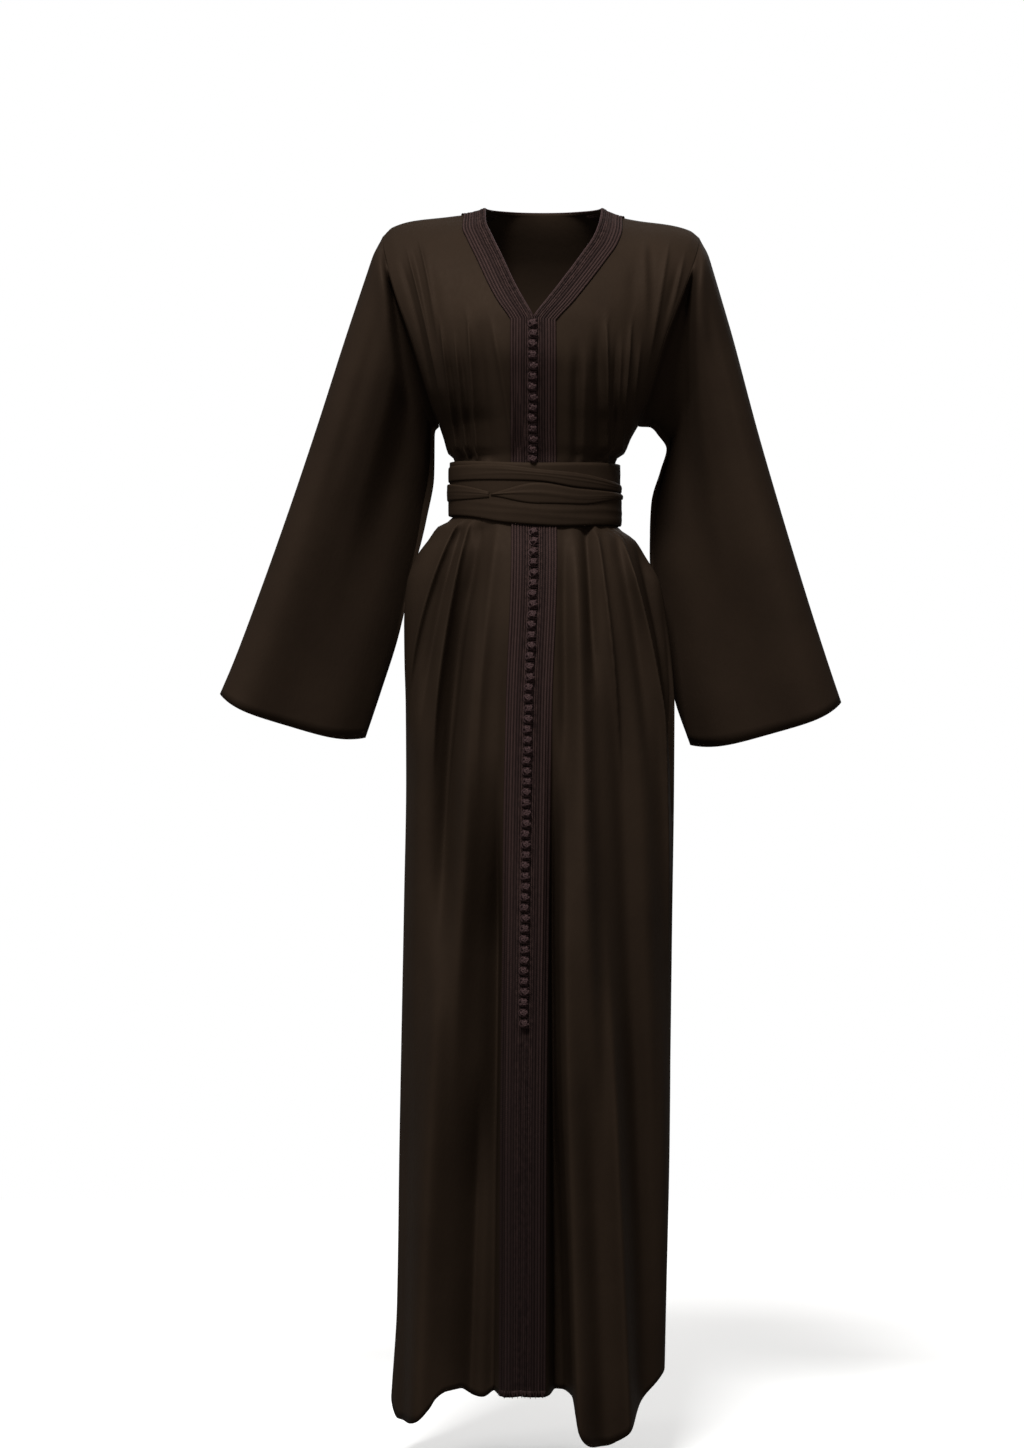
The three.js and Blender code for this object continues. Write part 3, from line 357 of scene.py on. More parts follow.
# ---- the garment's form ----
garment = {
    "clothThickness": 1.3,
    "seamHalf": 0.03,
    "armpitZ": -257.0,
    "waistZ": -338.0,
    "neckPointZ": 3.5,
    "neckHalfWidth": 70.2,
    "backNeckY": 62.0,
    "backNeckZ": 7.0,
    "vPointRise": 0.449,
    "sideSeamY": 5.0,
    "hemStartZ": -1290.0,
    "neckShare": 1 / 3,
    "rowHeight": 5.5,
    "chestSteps": 5,
    "frontColumns": 108,
    "neckColumns": 40,
    "shoulderColumns": 50,
}
seamHalf = garment["seamHalf"]
clothThickness = garment["clothThickness"]
armpitZ = garment["armpitZ"]
waistZ = garment["waistZ"]
sideSeamY = garment["sideSeamY"]
neckShare = garment["neckShare"]

bodyShape = {
    "columns": ("z", "right", "left", "centre", "front", "back"),
    "rows": (
        (-1402, -183, 145, -26, -147, 146),
        (-1306, -176, 146.5, -25.5, -146, 145),
        (-1114, -173, 151, -25, -142, 140),
        (-826, -167.5, 155, -22, -136, 134),
        (-682, -165, 157, -20, -130, 129),
        (-592, -165.5, 157.5, -18, -126, 126),
        (-538, -167, 154, -16, -122, 124),
        (-494, -167.5, 148.5, -14, -117, 121),
        (-446, -164, 140, -12.5, -109, 114),
        (-411, -151, 121, -12, -98, 102),
        (-394, -138.5, 110, -12, -88, 90),
        (-377, -126, 88.5, -12, -82, 80),
        (-369, -110, 87.2, -12, -81.6, 78.7),
        (-338, -106.4, 86, -12, -80, 76),
        (-298, -106.5, 86.5, -12.5, -83, 78),
        (-290, -114.5, 97, -12.5, -86, 82),
        (-272, -120, 105, -13, -92.5, 85),
        (-257, -125, 113.5, -13, -98, 88),
    ),
}
armholeShape = {
    "columns": ("rise", "right", "left", "front", "back"),
    "rows": (
        (0, -125, 113.5, 4.85, 5.15),
        (0.07, -130, 118, -27, 33),
        (0.18, -138, 126, -48, 50),
        (0.45, -157.5, 144, -62, 62),
        (0.7, -178, 166, -54, 55),
        (0.88, -188.5, 180.5, -32, 34),
        (0.955, -192, 185.5, -15, 16),
        (1, -193, 187, -0.15, 0.15),
    ),
}
chestShape = {
    "columns": ("rise", "right", "left", "front", "back", "turn"),
    "rows": (
        (0, -13, -13, -98, 88, 90),
        (0.18, -13, -13, -113, 94, 76),
        (0.31, -13, -13, -121, 97, 66),
        (0.449, -13, -13, -117, 98, 60),
        (0.603, -34.3, 17.2, -98, 95, 54),
        (0.761, -51.9, 45.9, -71, 87, 50),
        (0.845, -61.5, 59.4, -51, 79, 46),
        (0.933, -69.5, 67.2, -25, 69, 42),
        (1, -70.2, 70.2, -0.15, 62, 40),
    ),
}
shoulderShape = {
    "columns": ("along", "right", "left"),
    "rows": (
        (0, 3.5, 3.5),
        (0.1, -1.5, -3.5),
        (0.35, -6, -10.5),
        (0.7, -11, -16),
        (0.9, -18.5, -22.5),
        (1, -30, -31.5),
    ),
}
hemShapes = {
    "right": ((0, -1391), (0.12, -1396), (0.21, -1408), (0.27, -1406), (0.33, -1397), (0.4, -1398),
              (0.455, -1405), (0.49, -1416), (0.56, -1430), (0.66, -1437), (0.8, -1440), (0.88, -1434),
              (0.95, -1426), (1, -1421)),
    "left": ((0, -1392), (0.24, -1395), (0.28, -1435), (0.34, -1452), (0.39, -1454), (0.45, -1448),
             (0.52, -1436), (0.58, -1425), (0.66, -1413), (0.76, -1399), (0.86, -1388), (1, -1378)),
    "backRight": ((0, -1422), (0.3, -1414), (0.55, -1430), (0.8, -1420), (1, -1421)),
    "backLeft": ((0, -1422), (0.3, -1429), (0.55, -1416), (0.72, -1405), (0.86, -1389), (1, -1378)),
}
body = curvesOf(bodyShape)
armhole = curvesOf(armholeShape)
chest = curvesOf(chestShape)
neckRows = tuple(row for row in chestShape["rows"] if row[0] >= garment["vPointRise"])
neckEdge = curvesOf({"columns": chestShape["columns"], "rows": neckRows})  # straight from the V's point
shoulder = curvesOf(shoulderShape)
hemAt = {name: curveOf({"columns": ("along", "z"), "rows": rows}, "z") for name, rows in hemShapes.items()}

# folds: three places down the fold, its half width, its height (a trough below 0), how steep its
# outer side is, and its crispness (2 is soft, 1 is sharp)
frontFolds = (
    (-166, -40, -141, -138, -116, -270, 2.6, 5.4, 0.3, 1.1),
    (-172, -55, -147, -150, -126, -270, 4.5, -3.6, 0, 1.7),
    (-151, -30, -136, -96, -124, -180, 2.6, 4.8, 0.3, 1.1),
    (-158, -42, -143, -110, -131, -190, 4, -2.6, 0, 1.8),
    (-131, -50, -118, -120, -104, -240, 9, 2, 0, 2),
    (118, -36, 120, -84, 122, -160, 3, 3.4, 0, 1.3),
    (126, -40, 126, -90, 124, -160, 5, -2, 0, 1.8),
    (150, -34, 140, -95, 122, -200, 2.6, 4.4, -0.3, 1.1),
    (106, -60, 103, -130, 98, -240, 7, -2, 0, 1.8),
    (169, -46, 152, -124, 112, -280, 2.6, 4.8, 0, 1.1),
    (160, -60, 146, -132, 118, -260, 5, -2.8, 0, 1.8),
    (-124, -130, -110, -240, -88, -420, 2.5, 8.5, 0.4, 1.1),
    (-106, -150, -96, -250, -76, -420, 2.5, 8.5, 0.4, 1.1),
    (-91, -120, -84, -226, -70, -420, 2.8, 8.5, 0.4, 1.1),
    (-66, -130, -49, -214, -28, -380, 4.2, 6.5, 0.3, 1.2),
    (-101, -150, -90, -256, -74, -420, 5, -5, 0, 1.7),
    (-117, -150, -103, -256, -82, -420, 5, -5, 0, 1.7),
    (-77, -140, -68, -250, -54, -420, 9, -7, 0, 1.8),
    (-38, -150, -32, -240, -26, -400, 8, -3, 0, 2),
    (48, -170, 46, -256, 44, -420, 6, 5, 0, 1.6),
    (27, -170, 29, -250, 32, -400, 8, 3, 0, 1.8),
    (72, -120, 74.5, -226, 78, -440, 2.4, 9, -0.4, 1.1),
    (62, -140, 64, -236, 66, -420, 7, -7, 0, 1.8),
    (104, -120, 96, -232, 80, -440, 2.6, 8.5, -0.3, 1.1),
    (91, -150, 87, -246, 76, -420, 3, 4, -0.3, 1.2),
    (115, -150, 106, -240, 88, -420, 3, 4.6, -0.3, 1.2),
    (84, -150, 82, -250, 76, -420, 4, -5, 0, 1.6),
    (38, -160, 38, -250, 38, -420, 6, -4, 0, 2),
    (-84, -340, -121, -420, -160, -640, 4.6, 13, -0.45, 1.1),
    (-78, -340, -97, -414, -132, -700, 4.6, 15, -0.5, 1.1),
    (-83, -340, -109, -420, -148, -660, 7.5, -13, 0, 1.5),
    (-64, -340, -91, -470, -122, -960, 13, -24, 0, 1.6),
    (-50, -340, -60, -420, -78, -760, 7, 6, 0.2, 1.6),
    (-100, -420, -114, -640, -122, -1000, 12, -12, 0, 2),
    (-74, -440, -89, -680, -112, -1150, 12, 13, 0, 1.8),
    (-56, -640, -61, -1120, -70, -1900, 25, -86, -0.62, 1.2),
    (-80, -1000, -90, -1250, -100, -1900, 20, -30, -0.3, 1.5),
    (-110, -700, -136, -1136, -168, -2200, 16, 20, 0, 1.9),
    (-142, -520, -150, -720, -152, -1150, 10, 5, 0, 1.9),
    (-160, -900, -166, -1200, -170, -2200, 9, -10, 0, 1.9),
    (-40, -480, -46, -760, -54, -1200, 9, -7, 0, 2),
    (47, -340, 51, -414, 60, -600, 7, -13, 0, 1.6),
    (55, -340, 68, -430, 92, -700, 3.8, 11, -0.45, 1.1),
    (74, -340, 110, -455, 147, -900, 5, 21, -0.6, 1.1),
    (74, -340, 96, -440, 122, -720, 8, -8, 0, 2),
    (104, -374, 128, -460, 154, -760, 9.5, -27, 0.2, 1.4),
    (102, -340, 141, -438, 166, -720, 4, 14, -0.3, 1.2),
    (134, -500, 144, -700, 148, -1300, 3, 9, -0.4, 1.1),
    (36, -350, 43, -620, 66, -1250, 11, 15, 0, 1.9),
    (24, -360, 25, -520, 30, -900, 8, -8, 0, 2),
    (80, -500, 92, -720, 104, -1250, 12, -9, 0, 2),
    (108, -520, 118, -720, 126, -1250, 12, 7, 0, 2),
    (149, -560, 152, -720, 153, -1250, 3.6, -14, 0, 1.8),
    (68, -760, 84, -1140, 150, -2600, 11, 25, 0, 1.6),
    (46, -820, 57, -1140, 110, -2400, 11, -12, 0, 2),
    (106, -840, 116, -1200, 132, -2400, 14, -24, 0, 2),
    (138, -840, 144, -1200, 150, -2400, 8, 9, 0, 1.9),
    (9, -560, 12, -1000, 18, -2000, 9, -42, 0.2, 1.5),
    (18, -960, 24, -1250, 30, -2400, 13, -36, 0.2, 1.5),
    (27, -560, 36, -1080, 84, -2300, 17, 34, 0.5, 1.6),
)
foldEdge = (27, -560, 36, -1080, 84, -2300, 15, -9)  # the left front leans over its recess here

backFolds = (
    (-92, -180, -88, -245, -84, -302, 6, 3, 0, 1.5),
    (-76, -200, -74, -250, -71, -302, 4, -2.2, 0, 1.7),
    (-62, -170, -60, -240, -58, -303, 6, 3.2, 0, 1.4),
    (-46, -210, -46, -255, -46, -302, 5, -2.2, 0, 1.8),
    (-30, -195, -33, -245, -34, -300, 7, 2.6, 0, 1.5),
    (12, -185, 13, -240, 13, -302, 7, 2.8, 0, 1.5),
    (26, -205, 26, -252, 26, -302, 5, -2.2, 0, 1.8),
    (42, -175, 40, -245, 38, -303, 6, 3.2, 0, 1.4),
    (56, -205, 54, -252, 52, -302, 5, -2.2, 0, 1.8),
    (72, -190, 69, -250, 66, -300, 6, 2.8, 0, 1.5),
    (-92, -370, -112, -440, -128, -590, 8, 8.5, 0.3, 1.5),
    (-78, -372, -94, -440, -108, -560, 6, -4.5, 0, 1.8),
    (-62, -370, -74, -450, -84, -640, 9, 7, 0.2, 1.5),
    (-45, -372, -52, -440, -60, -560, 7, -4, 0, 1.8),
    (-28, -372, -31, -450, -36, -600, 9, 6, 0, 1.6),
    (10, -370, 11, -440, 14, -620, 9, 6, 0, 1.6),
    (28, -372, 32, -440, 38, -560, 7, -4, 0, 1.8),
    (42, -370, 52, -450, 62, -600, 9, 7, -0.2, 1.5),
    (58, -372, 74, -440, 84, -560, 6, -4.5, 0, 1.8),
    (72, -370, 94, -450, 108, -620, 8, 8, -0.3, 1.5),
    (-120, -620, -128, -1000, -134, -1700, 19, 12, 0, 2),
    (-86, -680, -88, -1050, -90, -1700, 20, -14, 0, 2),
    (-40, -560, -46, -1000, -50, -1700, 20, 13, 0, 2),
    (-4, -640, -6, -1050, -8, -1700, 20, -15, 0, 2),
    (30, -600, 34, -1000, 36, -1700, 19, 13, 0, 2),
    (70, -660, 74, -1050, 76, -1700, 19, -13, 0, 2),
    (106, -600, 112, -1000, 114, -1700, 18, 11, 0, 2),
    (-120, -60, -104, -120, -84, -170, 9, 2.2, 0, 1.7),
    (118, -60, 102, -120, 84, -170, 9, 2.2, 0, 1.7),
    (-150, -70, -134, -130, -116, -200, 6, 2, 0, 1.5),
    (146, -72, 130, -130, 112, -200, 6, 2, 0, 1.5),
)


def foldPlace(fold, z):
    x1, z1, x2, z2, x3, z3 = fold[:6]
    run = (z1 - z) / (z1 - z3)
    if run <= 0 or run >= 1:
        return None, 0.0
    # a bend through the middle place, without a corner in it
    half = (z1 - z2) / (z1 - z3)
    a = (1 - run) * (half - run) / half
    b = run * (1 - run) / (half * (1 - half))
    c = run * (run - half) / (1 - half)
    crest = a * x1 + b * x2 + c * x3
    return crest, smooth(run / 0.2) * smooth((1 - run) / 0.42)


def foldHeight(folds, x, z):
    total = 0.0
    for fold in folds:
        if not fold[5] < z < fold[1]:
            continue
        crest, fade = foldPlace(fold, z)
        if crest is None:
            continue
        width, height, steep, crisp = fold[6:10]
        away = x - crest
        width *= 1 + (steep if away > 0 else -steep)
        reach = abs(away) / width
        if reach < 4:
            total += height * fade * math.exp(-((reach * reach + 0.02) ** (crisp / 2)))
    return total


def leanOf(x, z):
    x1, z1, x2, z2, x3, z3, width, lean = foldEdge
    if not z3 < z < z1:
        return 0.0
    run = (z1 - z) / (z1 - z3)
    half = (z1 - z2) / (z1 - z3)
    crest = lerp(x1, x2, run / half) if run < half else lerp(x2, x3, (run - half) / (1 - half))
    return lean * math.exp(-(((x - crest) / width) ** 2)) * smooth(run / 0.2) * smooth((1 - run) / 0.2)


# the folds are held flat behind the sash and run out from under it at both of its edges
def sashPress(z):
    return smooth((z - waistZ - 26) / 12) if z > waistZ else smooth((waistZ - 33 - z) / 14)


# ---- the body's surface ----
# across is 0 at the front edge or the middle of the back, and 1 at the side seam or armhole;
# a level is ("z", height, share of the way to the hem) or ("rise", 0 at the armpit to 1)
def lowerPoint(side, across, z):
    share = abs(across)
    edge = ("right" if across < 0 else "left") if side == "back" else side
    depth = body["back"](z) if side == "back" else body["front"](z)
    angle = share * math.pi / 2
    seamY = sideSeamY + (seamHalf if side == "back" else -seamHalf)
    x = lerp(body["centre"](z), body[edge](z), math.sin(angle))
    return Vector((x, lerp(seamY, depth, math.cos(angle)), z))


def upperPoint(side, across, rise):
    share = abs(across)
    turn = math.radians(chest["turn"](rise))
    sweep = math.sin(share * turn) / math.sin(turn)
    fall = (1 - math.cos(share * turn)) / (1 - math.cos(turn))
    if side != "back":
        edgeX = lerp(neckEdge[side](rise), chest[side](rise), smooth(share / 0.4))
        x = lerp(edgeX, armhole[side](rise), sweep)
        y = lerp(chest["front"](rise), armhole["front"](rise), fall)
        return Vector((x, y, lerp(armpitZ, shoulder[side](sweep), rise)))
    edge = "right" if across < 0 else "left"
    sign = -1 if across < 0 else 1
    centre = lerp(body["centre"](armpitZ), 0, smooth(rise))
    tipX = armhole[edge](rise)
    seam = clamp((share - neckShare) / (1 - neckShare))
    quarter = share / neckShare * math.pi / 2
    onNeck = share < neckShare
    neckX = garment["neckHalfWidth"]
    topX = sign * neckX * math.sin(quarter) if onNeck else sign * lerp(neckX, abs(tipX), seam)
    gather = smooth((rise - 0.35) / 0.65)
    arch = clamp((rise - 0.6) / 0.4)
    over = 1 - (1 - arch ** 2.5) ** 0.4
    ringY = garment["backNeckY"] * math.cos(quarter) if onNeck else 0
    archY = lerp(chest["back"](rise), armhole["back"](rise), fall)
    neckZ = lerp(garment["neckPointZ"], garment["backNeckZ"], math.cos(quarter))
    topZ = neckZ if onNeck else shoulder[edge](seam)
    x = lerp(lerp(centre, tipX, sweep), topX, gather)
    return Vector((x, lerp(archY, max(ringY, seamHalf), over), lerp(armpitZ, topZ, rise)))


def barePoint(side, across, level):
    if level[0] == "rise":
        return upperPoint(side, across, level[1])
    point = lowerPoint(side, across, level[1])
    if level[2] > 0:
        name = side if side != "back" else ("backRight" if across < 0 else "backLeft")
        point.z = lerp(garment["hemStartZ"], hemAt[name](abs(across)), level[2])
    return point


def clothPoint(side, across, level):
    point = barePoint(side, across, level)
    step = -0.02 if across > 0.5 else 0.02
    along = barePoint(side, across + step, level) - point
    outward = Vector((along.y, -along.x, 0)).normalized()
    if outward.dot(Vector((point.x - body["centre"](point.z), point.y - sideSeamY, 0))) < 0:
        outward.negate()
    press = sashPress(point.z)
    if press == 0:
        return point
    atFront = 1 if side == "back" else smooth(across / 0.14)
    fade = smooth((1 - abs(across)) / 0.12) * atFront * press
    # mostly straight out of the page, so that a fold stays where the table puts it
    push = Vector((0.2 * outward.x, 1 if side == "back" else -1, 0))
    point += push * (foldHeight(backFolds if side == "back" else frontFolds, point.x, point.z) * fade)
    if side == "left":
        point.x += leanOf(point.x, point.z) * fade
    return point


# ---- rows and columns ----
chestRises = (0, 0.07, 0.18, 0.31, 0.449, 0.57, 0.69, 0.8, 0.89, 0.955, 1)
riseAt = curveOf({"columns": ("step", "rise"), "rows": tuple(enumerate(chestRises))}, "rise")

levels = []
hemRows = 14
for i in range(hemRows):
    levels.append(("z", lerp(-1402, garment["hemStartZ"], i / hemRows), 1 - i / hemRows))
bodyRows = round((armpitZ - garment["hemStartZ"]) / garment["rowHeight"])
for i in range(bodyRows + 1):
    levels.append(("z", lerp(garment["hemStartZ"], armpitZ, i / bodyRows), 0))
armpitRow = len(levels) - 1
chestRows = 10 * garment["chestSteps"]
for i in range(1, chestRows + 1):
    levels.append(("rise", riseAt(10 * i / chestRows)))

braid = {
    "width": 27.0,
    "flatWidth": 10.0,
    "gap": 0.25,
    "ground": 0.8,
    # width and height of each cord, from the front edge outwards
    "cords": ((2.6, 0.7), (2.4, 1.0), (2.6, 0.6), (2.4, 0.95), (3.6, 1.3), (3.2, 0.9), (3.4, 1.2),
              (3.2, 0.95), (3.6, 1.4)),
    "cordSteps": 6,
    "slant": 1.09,
    "neckSteps": 48,
    "neckLift": 0.6,  # how far it stands off the cloth at the middle of the back neck
    "neckRisePerMm": 0.0034,
    "ends": 15,
    "endLength": 9.0,
    "endRadius": 0.5,
}
flatShare = braid["flatWidth"] / braid["width"]


def acrossAt(side, lengths, level):
    places = []
    travelled, across, step = 0.0, 0.0, 0.005
    here = barePoint(side, 0, level)
    for length in lengths:
        while True:
            ahead = barePoint(side, across + step, level)
            leg = (ahead - here).length
            if travelled + leg >= length or across > 0.98:
                places.append(across + step * (length - travelled) / leg)
                break
            travelled += leg
            across += step
            here = ahead
    return places


def braidReach(level):
    if level[0] == "z":
        return braid["width"]
    start = smooth((level[1] - garment["vPointRise"]) / 0.1)
    return braid["width"] * lerp(1, braid["slant"], start * smooth((1 - level[1]) / 0.1))


edgePlaces = {}
for side in ("right", "left"):
    for row, level in enumerate(levels):
        reach = braidReach(level)
        onNeck = level[0] == "rise" and level[1] > garment["vPointRise"]
        edgePlaces[side, row] = acrossAt(side, (0 if onNeck else seamHalf, reach * flatShare, reach), level)


def frontAcross(side, row):
    start, flatEnd, outer = edgePlaces[side, row]
    places = [start, lerp(start, flatEnd, 0.5), flatEnd, lerp(flatEnd, outer, 0.5), outer]
    spread = {"right": 1.0, "left": 1.25}[side]
    count = garment["frontColumns"]
    return places + [lerp(outer, 1, (i / count) ** spread) for i in range(1, count + 1)]


def backAcross(side, row):
    shoulders, neck = garment["shoulderColumns"], garment["neckColumns"]
    places = [lerp(-1, -neckShare, i / shoulders) for i in range(shoulders)]
    places += [lerp(-neckShare, neckShare, i / neck) for i in range(neck)]
    return places + [lerp(neckShare, 1, i / shoulders) for i in range(shoulders + 1)]


def gridNormals(grid, wrap, flip):
    normals = []
    last = len(grid) - 1
    count = len(grid[0])
    for i, row in enumerate(grid):
        line = []
        for j in range(count):
            up = grid[min(i + 1, last)][j] - grid[max(i - 1, 0)][j]
            ahead = row[(j + 1) % count] if wrap else row[min(j + 1, count - 1)]
            behind = row[(j - 1) % count] if wrap else row[max(j - 1, 0)]
            normal = (ahead - behind).cross(up).normalized()
            line.append(-normal if flip else normal)
        normals.append(line)
    return normals


# ---- making meshes ----
def finishPiece(name, mesh, finish, nodes):
    piece = bpy.data.objects.new(name, mesh)
    scene.collection.objects.link(piece)
    mesh.materials.append(finish)
    for face in mesh.polygons:
        face.use_smooth = True
    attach(piece, "root")
    if nodes:
        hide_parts(*nodes)
    return piece


def sheetPiece(name, grid, wrap, flip, thickness, finish, nodes):
    mesh = bpy.data.meshes.new(name)
    count = len(grid[0])
    points = [point * mm for row in grid for point in row]
    faces = []
    for i in range(len(grid) - 1):
        for j in range(count if wrap else count - 1):
            here, after = i * count, (i + 1) * count
            quad = (here + j, here + (j + 1) % count, after + (j + 1) % count, after + j)
            faces.append(quad[::-1] if flip else quad)
    mesh.from_pydata(points, [], faces)
    mesh.update()
    piece = finishPiece(name, mesh, finish, nodes)
    wall = piece.modifiers.new("wall", "SOLIDIFY")
    wall.thickness = thickness * mm
    wall.offset = -1
    wall.use_even_offset = False
    return piece


def sweptMesh(name, rings, closed, capped, maps=None, flip=False):
    bm = bmesh.new()
    layer = bm.loops.layers.uv.new("braidMap") if maps else None
    made = [[bm.verts.new(point * mm) for point in ring] for ring in rings]
    size = len(rings[0])
    total = len(rings)
    for i in range(total if closed else total - 1):
        after = (i + 1) % total
        for j in range(size):
            k = (j + 1) % size
            corners = [(i, j), (i, k), (after, k), (after, j)]
            if flip:
                corners.reverse()
            face = bm.faces.new([made[a][b] for a, b in corners])
            if layer:
                for loop, (a, b) in zip(face.loops, corners):
                    loop[layer].uv = maps[a][b]
    if capped and not closed:
        bm.faces.new(made[0] if flip else made[0][::-1])
        bm.faces.new(made[-1][::-1] if flip else made[-1])
    mesh = bpy.data.meshes.new(name)
    bm.to_mesh(mesh)
    bm.free()
    return mesh


# ---- body panels ----
panels = {}
for side, acrossOf in (("right", frontAcross), ("left", frontAcross), ("back", backAcross)):
    grid = []
    for row, level in enumerate(levels):
        grid.append([clothPoint(side, across, level) for across in acrossOf(side, row)])
    flip = side != "left"
    panels[side] = {"grid": grid, "flip": flip, "normals": gridNormals(grid, False, flip)}

panelPieces = {
    "right": ("frontRightCloth", "front_right"),
    "left": ("frontLeftCloth", "front_left"),
    "back": ("backCloth", "back"),
}
for side, (name, node) in panelPieces.items():
    panel = panels[side]
    grid, flip = panel["grid"], panel["flip"]
    panel["piece"] = sheetPiece(name, grid, False, flip, clothThickness, bodyCrepe, [node])
print("stage: body panels made")

# ---- sleeves ----
sleeve = {
    "stations": 66,
    "cuffDrop": 13.0,
    "taper": 0.35,
    "joint": 0.1,  # where the part that leaves the armhole runs into the sleeve's table
    "recess": 30.0,  # how far the front of the sleeve falls back beside the armhole
    "crest": 3.0,  # the lit ridge at the hollow's edge
}
sleeveColumns = ("along", "outerX", "outerZ", "innerX", "innerZ", "innerY", "depth")
sleeveShapes = {
    "right": {
        "columns": sleeveColumns,
        "rows": (
            (0.1, -206.5, -58.8, -132, -268, 14, 59),
            (0.3, -237, -150, -133, -314, 34, 52),
            (0.5, -273, -262, -143, -368, 46, 48),
            (0.66, -306, -360, -158, -431, 50, 46),
            (0.82, -346, -472, -176, -510, 46, 45),
            (0.93, -373, -543, -197, -577, 40, 44),
            (1, -388, -578, -215, -631, 36, 43),
        ),
    },
    "left": {
        "columns": sleeveColumns,
        "rows": (
            (0.1, 199.5, -58.8, 136, -262, 14, 59),
            (0.2, 213, -104, 150, -283, 26, 55),
            (0.3, 226.5, -150, 143, -308, 34, 52),
            (0.5, 256.5, -262, 132, -350, 46, 48),
            (0.66, 285.5, -362, 130, -412, 50, 46),
            (0.82, 319, -472, 142, -494, 50, 45),
            (0.93, 343.5, -548, 158.5, -582, 44, 44),
            (1, 357, -588, 178, -640, 38, 43),
        ),
    },
}
# place round the section, half width, height, and where along the sleeve it starts and ends
sleeveFolds = (
    (0.14, 0.05, 4, 0.1, 2),
    (0.26, 0.06, -5, 0.1, 2),
    (0.37, 0.05, 4, 0.1, 2),
    (0.66, 0.06, 4, 0.1, 2),
    (0.76, 0.06, -5, 0.1, 2),
    (0.88, 0.05, 4, 0.1, 2),
    (0.42, 0.018, 2.4, 0.03, 0.6),
    (0.335, 0.02, -2.2, 0.05, 0.7),
    (0.2, 0.022, 2.2, 0.2, 0.9),
    (0.1, 0.02, 2, 0.05, 0.5),
    (0.58, 0.02, 2.2, 0.05, 0.7),
    (0.82, 0.022, 2, 0.1, 0.8),
)


def sleeveSection(curves, along, turns):
    inner = Vector((curves["innerX"](along), curves["innerY"](along), curves["innerZ"](along)))
    outer = Vector((curves["outerX"](along), 0, curves["outerZ"](along)))
    chord = outer - inner
    down = Vector((chord.z, 0, -chord.x)).normalized()
    if down.z > 0:
        down.negate()
    section = []
    for turn in turns:
        cosine, sine = math.cos(turn * 2 * math.pi), math.sin(turn * 2 * math.pi)
        depth = curves["depth"](along) * (1 - sleeve["taper"] * cosine)
        for at, width, height, start, end in sleeveFolds:
            if end > 1:
                fade = smooth(along / 0.4)
            else:
                fade = smooth((along - start) / 0.12) * smooth((end - along) / 0.25)
            depth += height * fade * math.exp(-(((turn - at) / width) ** 2))
        point = inner + chord * ((1 - cosine) / 2)
        point.y -= depth * sine
        bulge = smooth((along - 0.86) / 0.14)
        section.append(point + down * (sleeve["cuffDrop"] * bulge * (1 - cosine ** 4)))
    return section


def armholeRing(side):
    front, back = panels[side]["grid"], panels["back"]["grid"]
    backColumn = 0 if side == "right" else len(back[0]) - 1
    ring = [front[i][-1] for i in range(armpitRow, len(levels))]
    return ring + [back[i][backColumn] for i in range(len(levels) - 2, armpitRow, -1)]


for side in ("right", "left"):
    ring = armholeRing(side)
    turns = [i / len(ring) for i in range(len(ring))]
    curves = curvesOf(sleeveShapes[side])
    joint = sleeveSection(curves, sleeve["joint"], turns)
    beyond = sleeveSection(curves, sleeve["joint"] + 0.02, turns)
    grid = []
    for station in range(sleeve["stations"] + 1):
        along = (station / sleeve["stations"]) ** 1.15
        if along >= sleeve["joint"]:
            section = sleeveSection(curves, along, turns)
        else:
            t = along / sleeve["joint"]
            section = []
            for start, end, after in zip(ring, joint, beyond):
                begin = start + (end - start).normalized() * 0.3
                leave, arrive = end - begin, (after - end) * 5
                a, b = (1 + 2 * t) * (1 - t) ** 2, t * (1 - t) ** 2
                c, d = t * t * (3 - 2 * t), t * t * (t - 1)
                section.append(begin * a + leave * b + end * c + arrive * d)
        fall = smooth(along / 0.03) * smooth((0.95 - along) / 0.6)
        ridge = lerp(0.38, 0.26, smooth(along / 0.22))
        for point, turn in zip(section, turns):
            atFront = smooth(turn / 0.05) * smooth((ridge - turn) / 0.07)
            point.y -= sleeve["crest"] * fall * math.exp(-(((turn - ridge - 0.03) / 0.035) ** 2))
            point.y += sleeve["recess"] * fall * atFront
        grid.append(section)
    name = "sleeveRightCloth" if side == "right" else "sleeveLeftCloth"
    nodes = ["sleeve_" + side]
    piece = sheetPiece(name, grid, True, side == "left", clothThickness, sleeveShadedCrepe, nodes)
    panels["sleeve" + side] = {"piece": piece}
print("stage: sleeves made")

# ---- braid ----
braidBase = braid["gap"] + braid["ground"]
braidRing = [(0, braid["gap"], 0), (0, braidBase, 0)]  # width across, height off the cloth, cord number
reached = 0.0
for number, (cordWidth, cordHeight) in enumerate(braid["cords"]):
    for i in range(1, braid["cordSteps"] + 1):
        t = i / braid["cordSteps"]
        rise = cordHeight * math.sin(t * math.pi) ** 0.7 if t < 1 else 0
        braidRing.append((reached + cordWidth * t, braidBase + rise, number + t))
    reached += cordWidth
braidRing.append((braid["width"], braid["gap"], len(braid["cords"])))


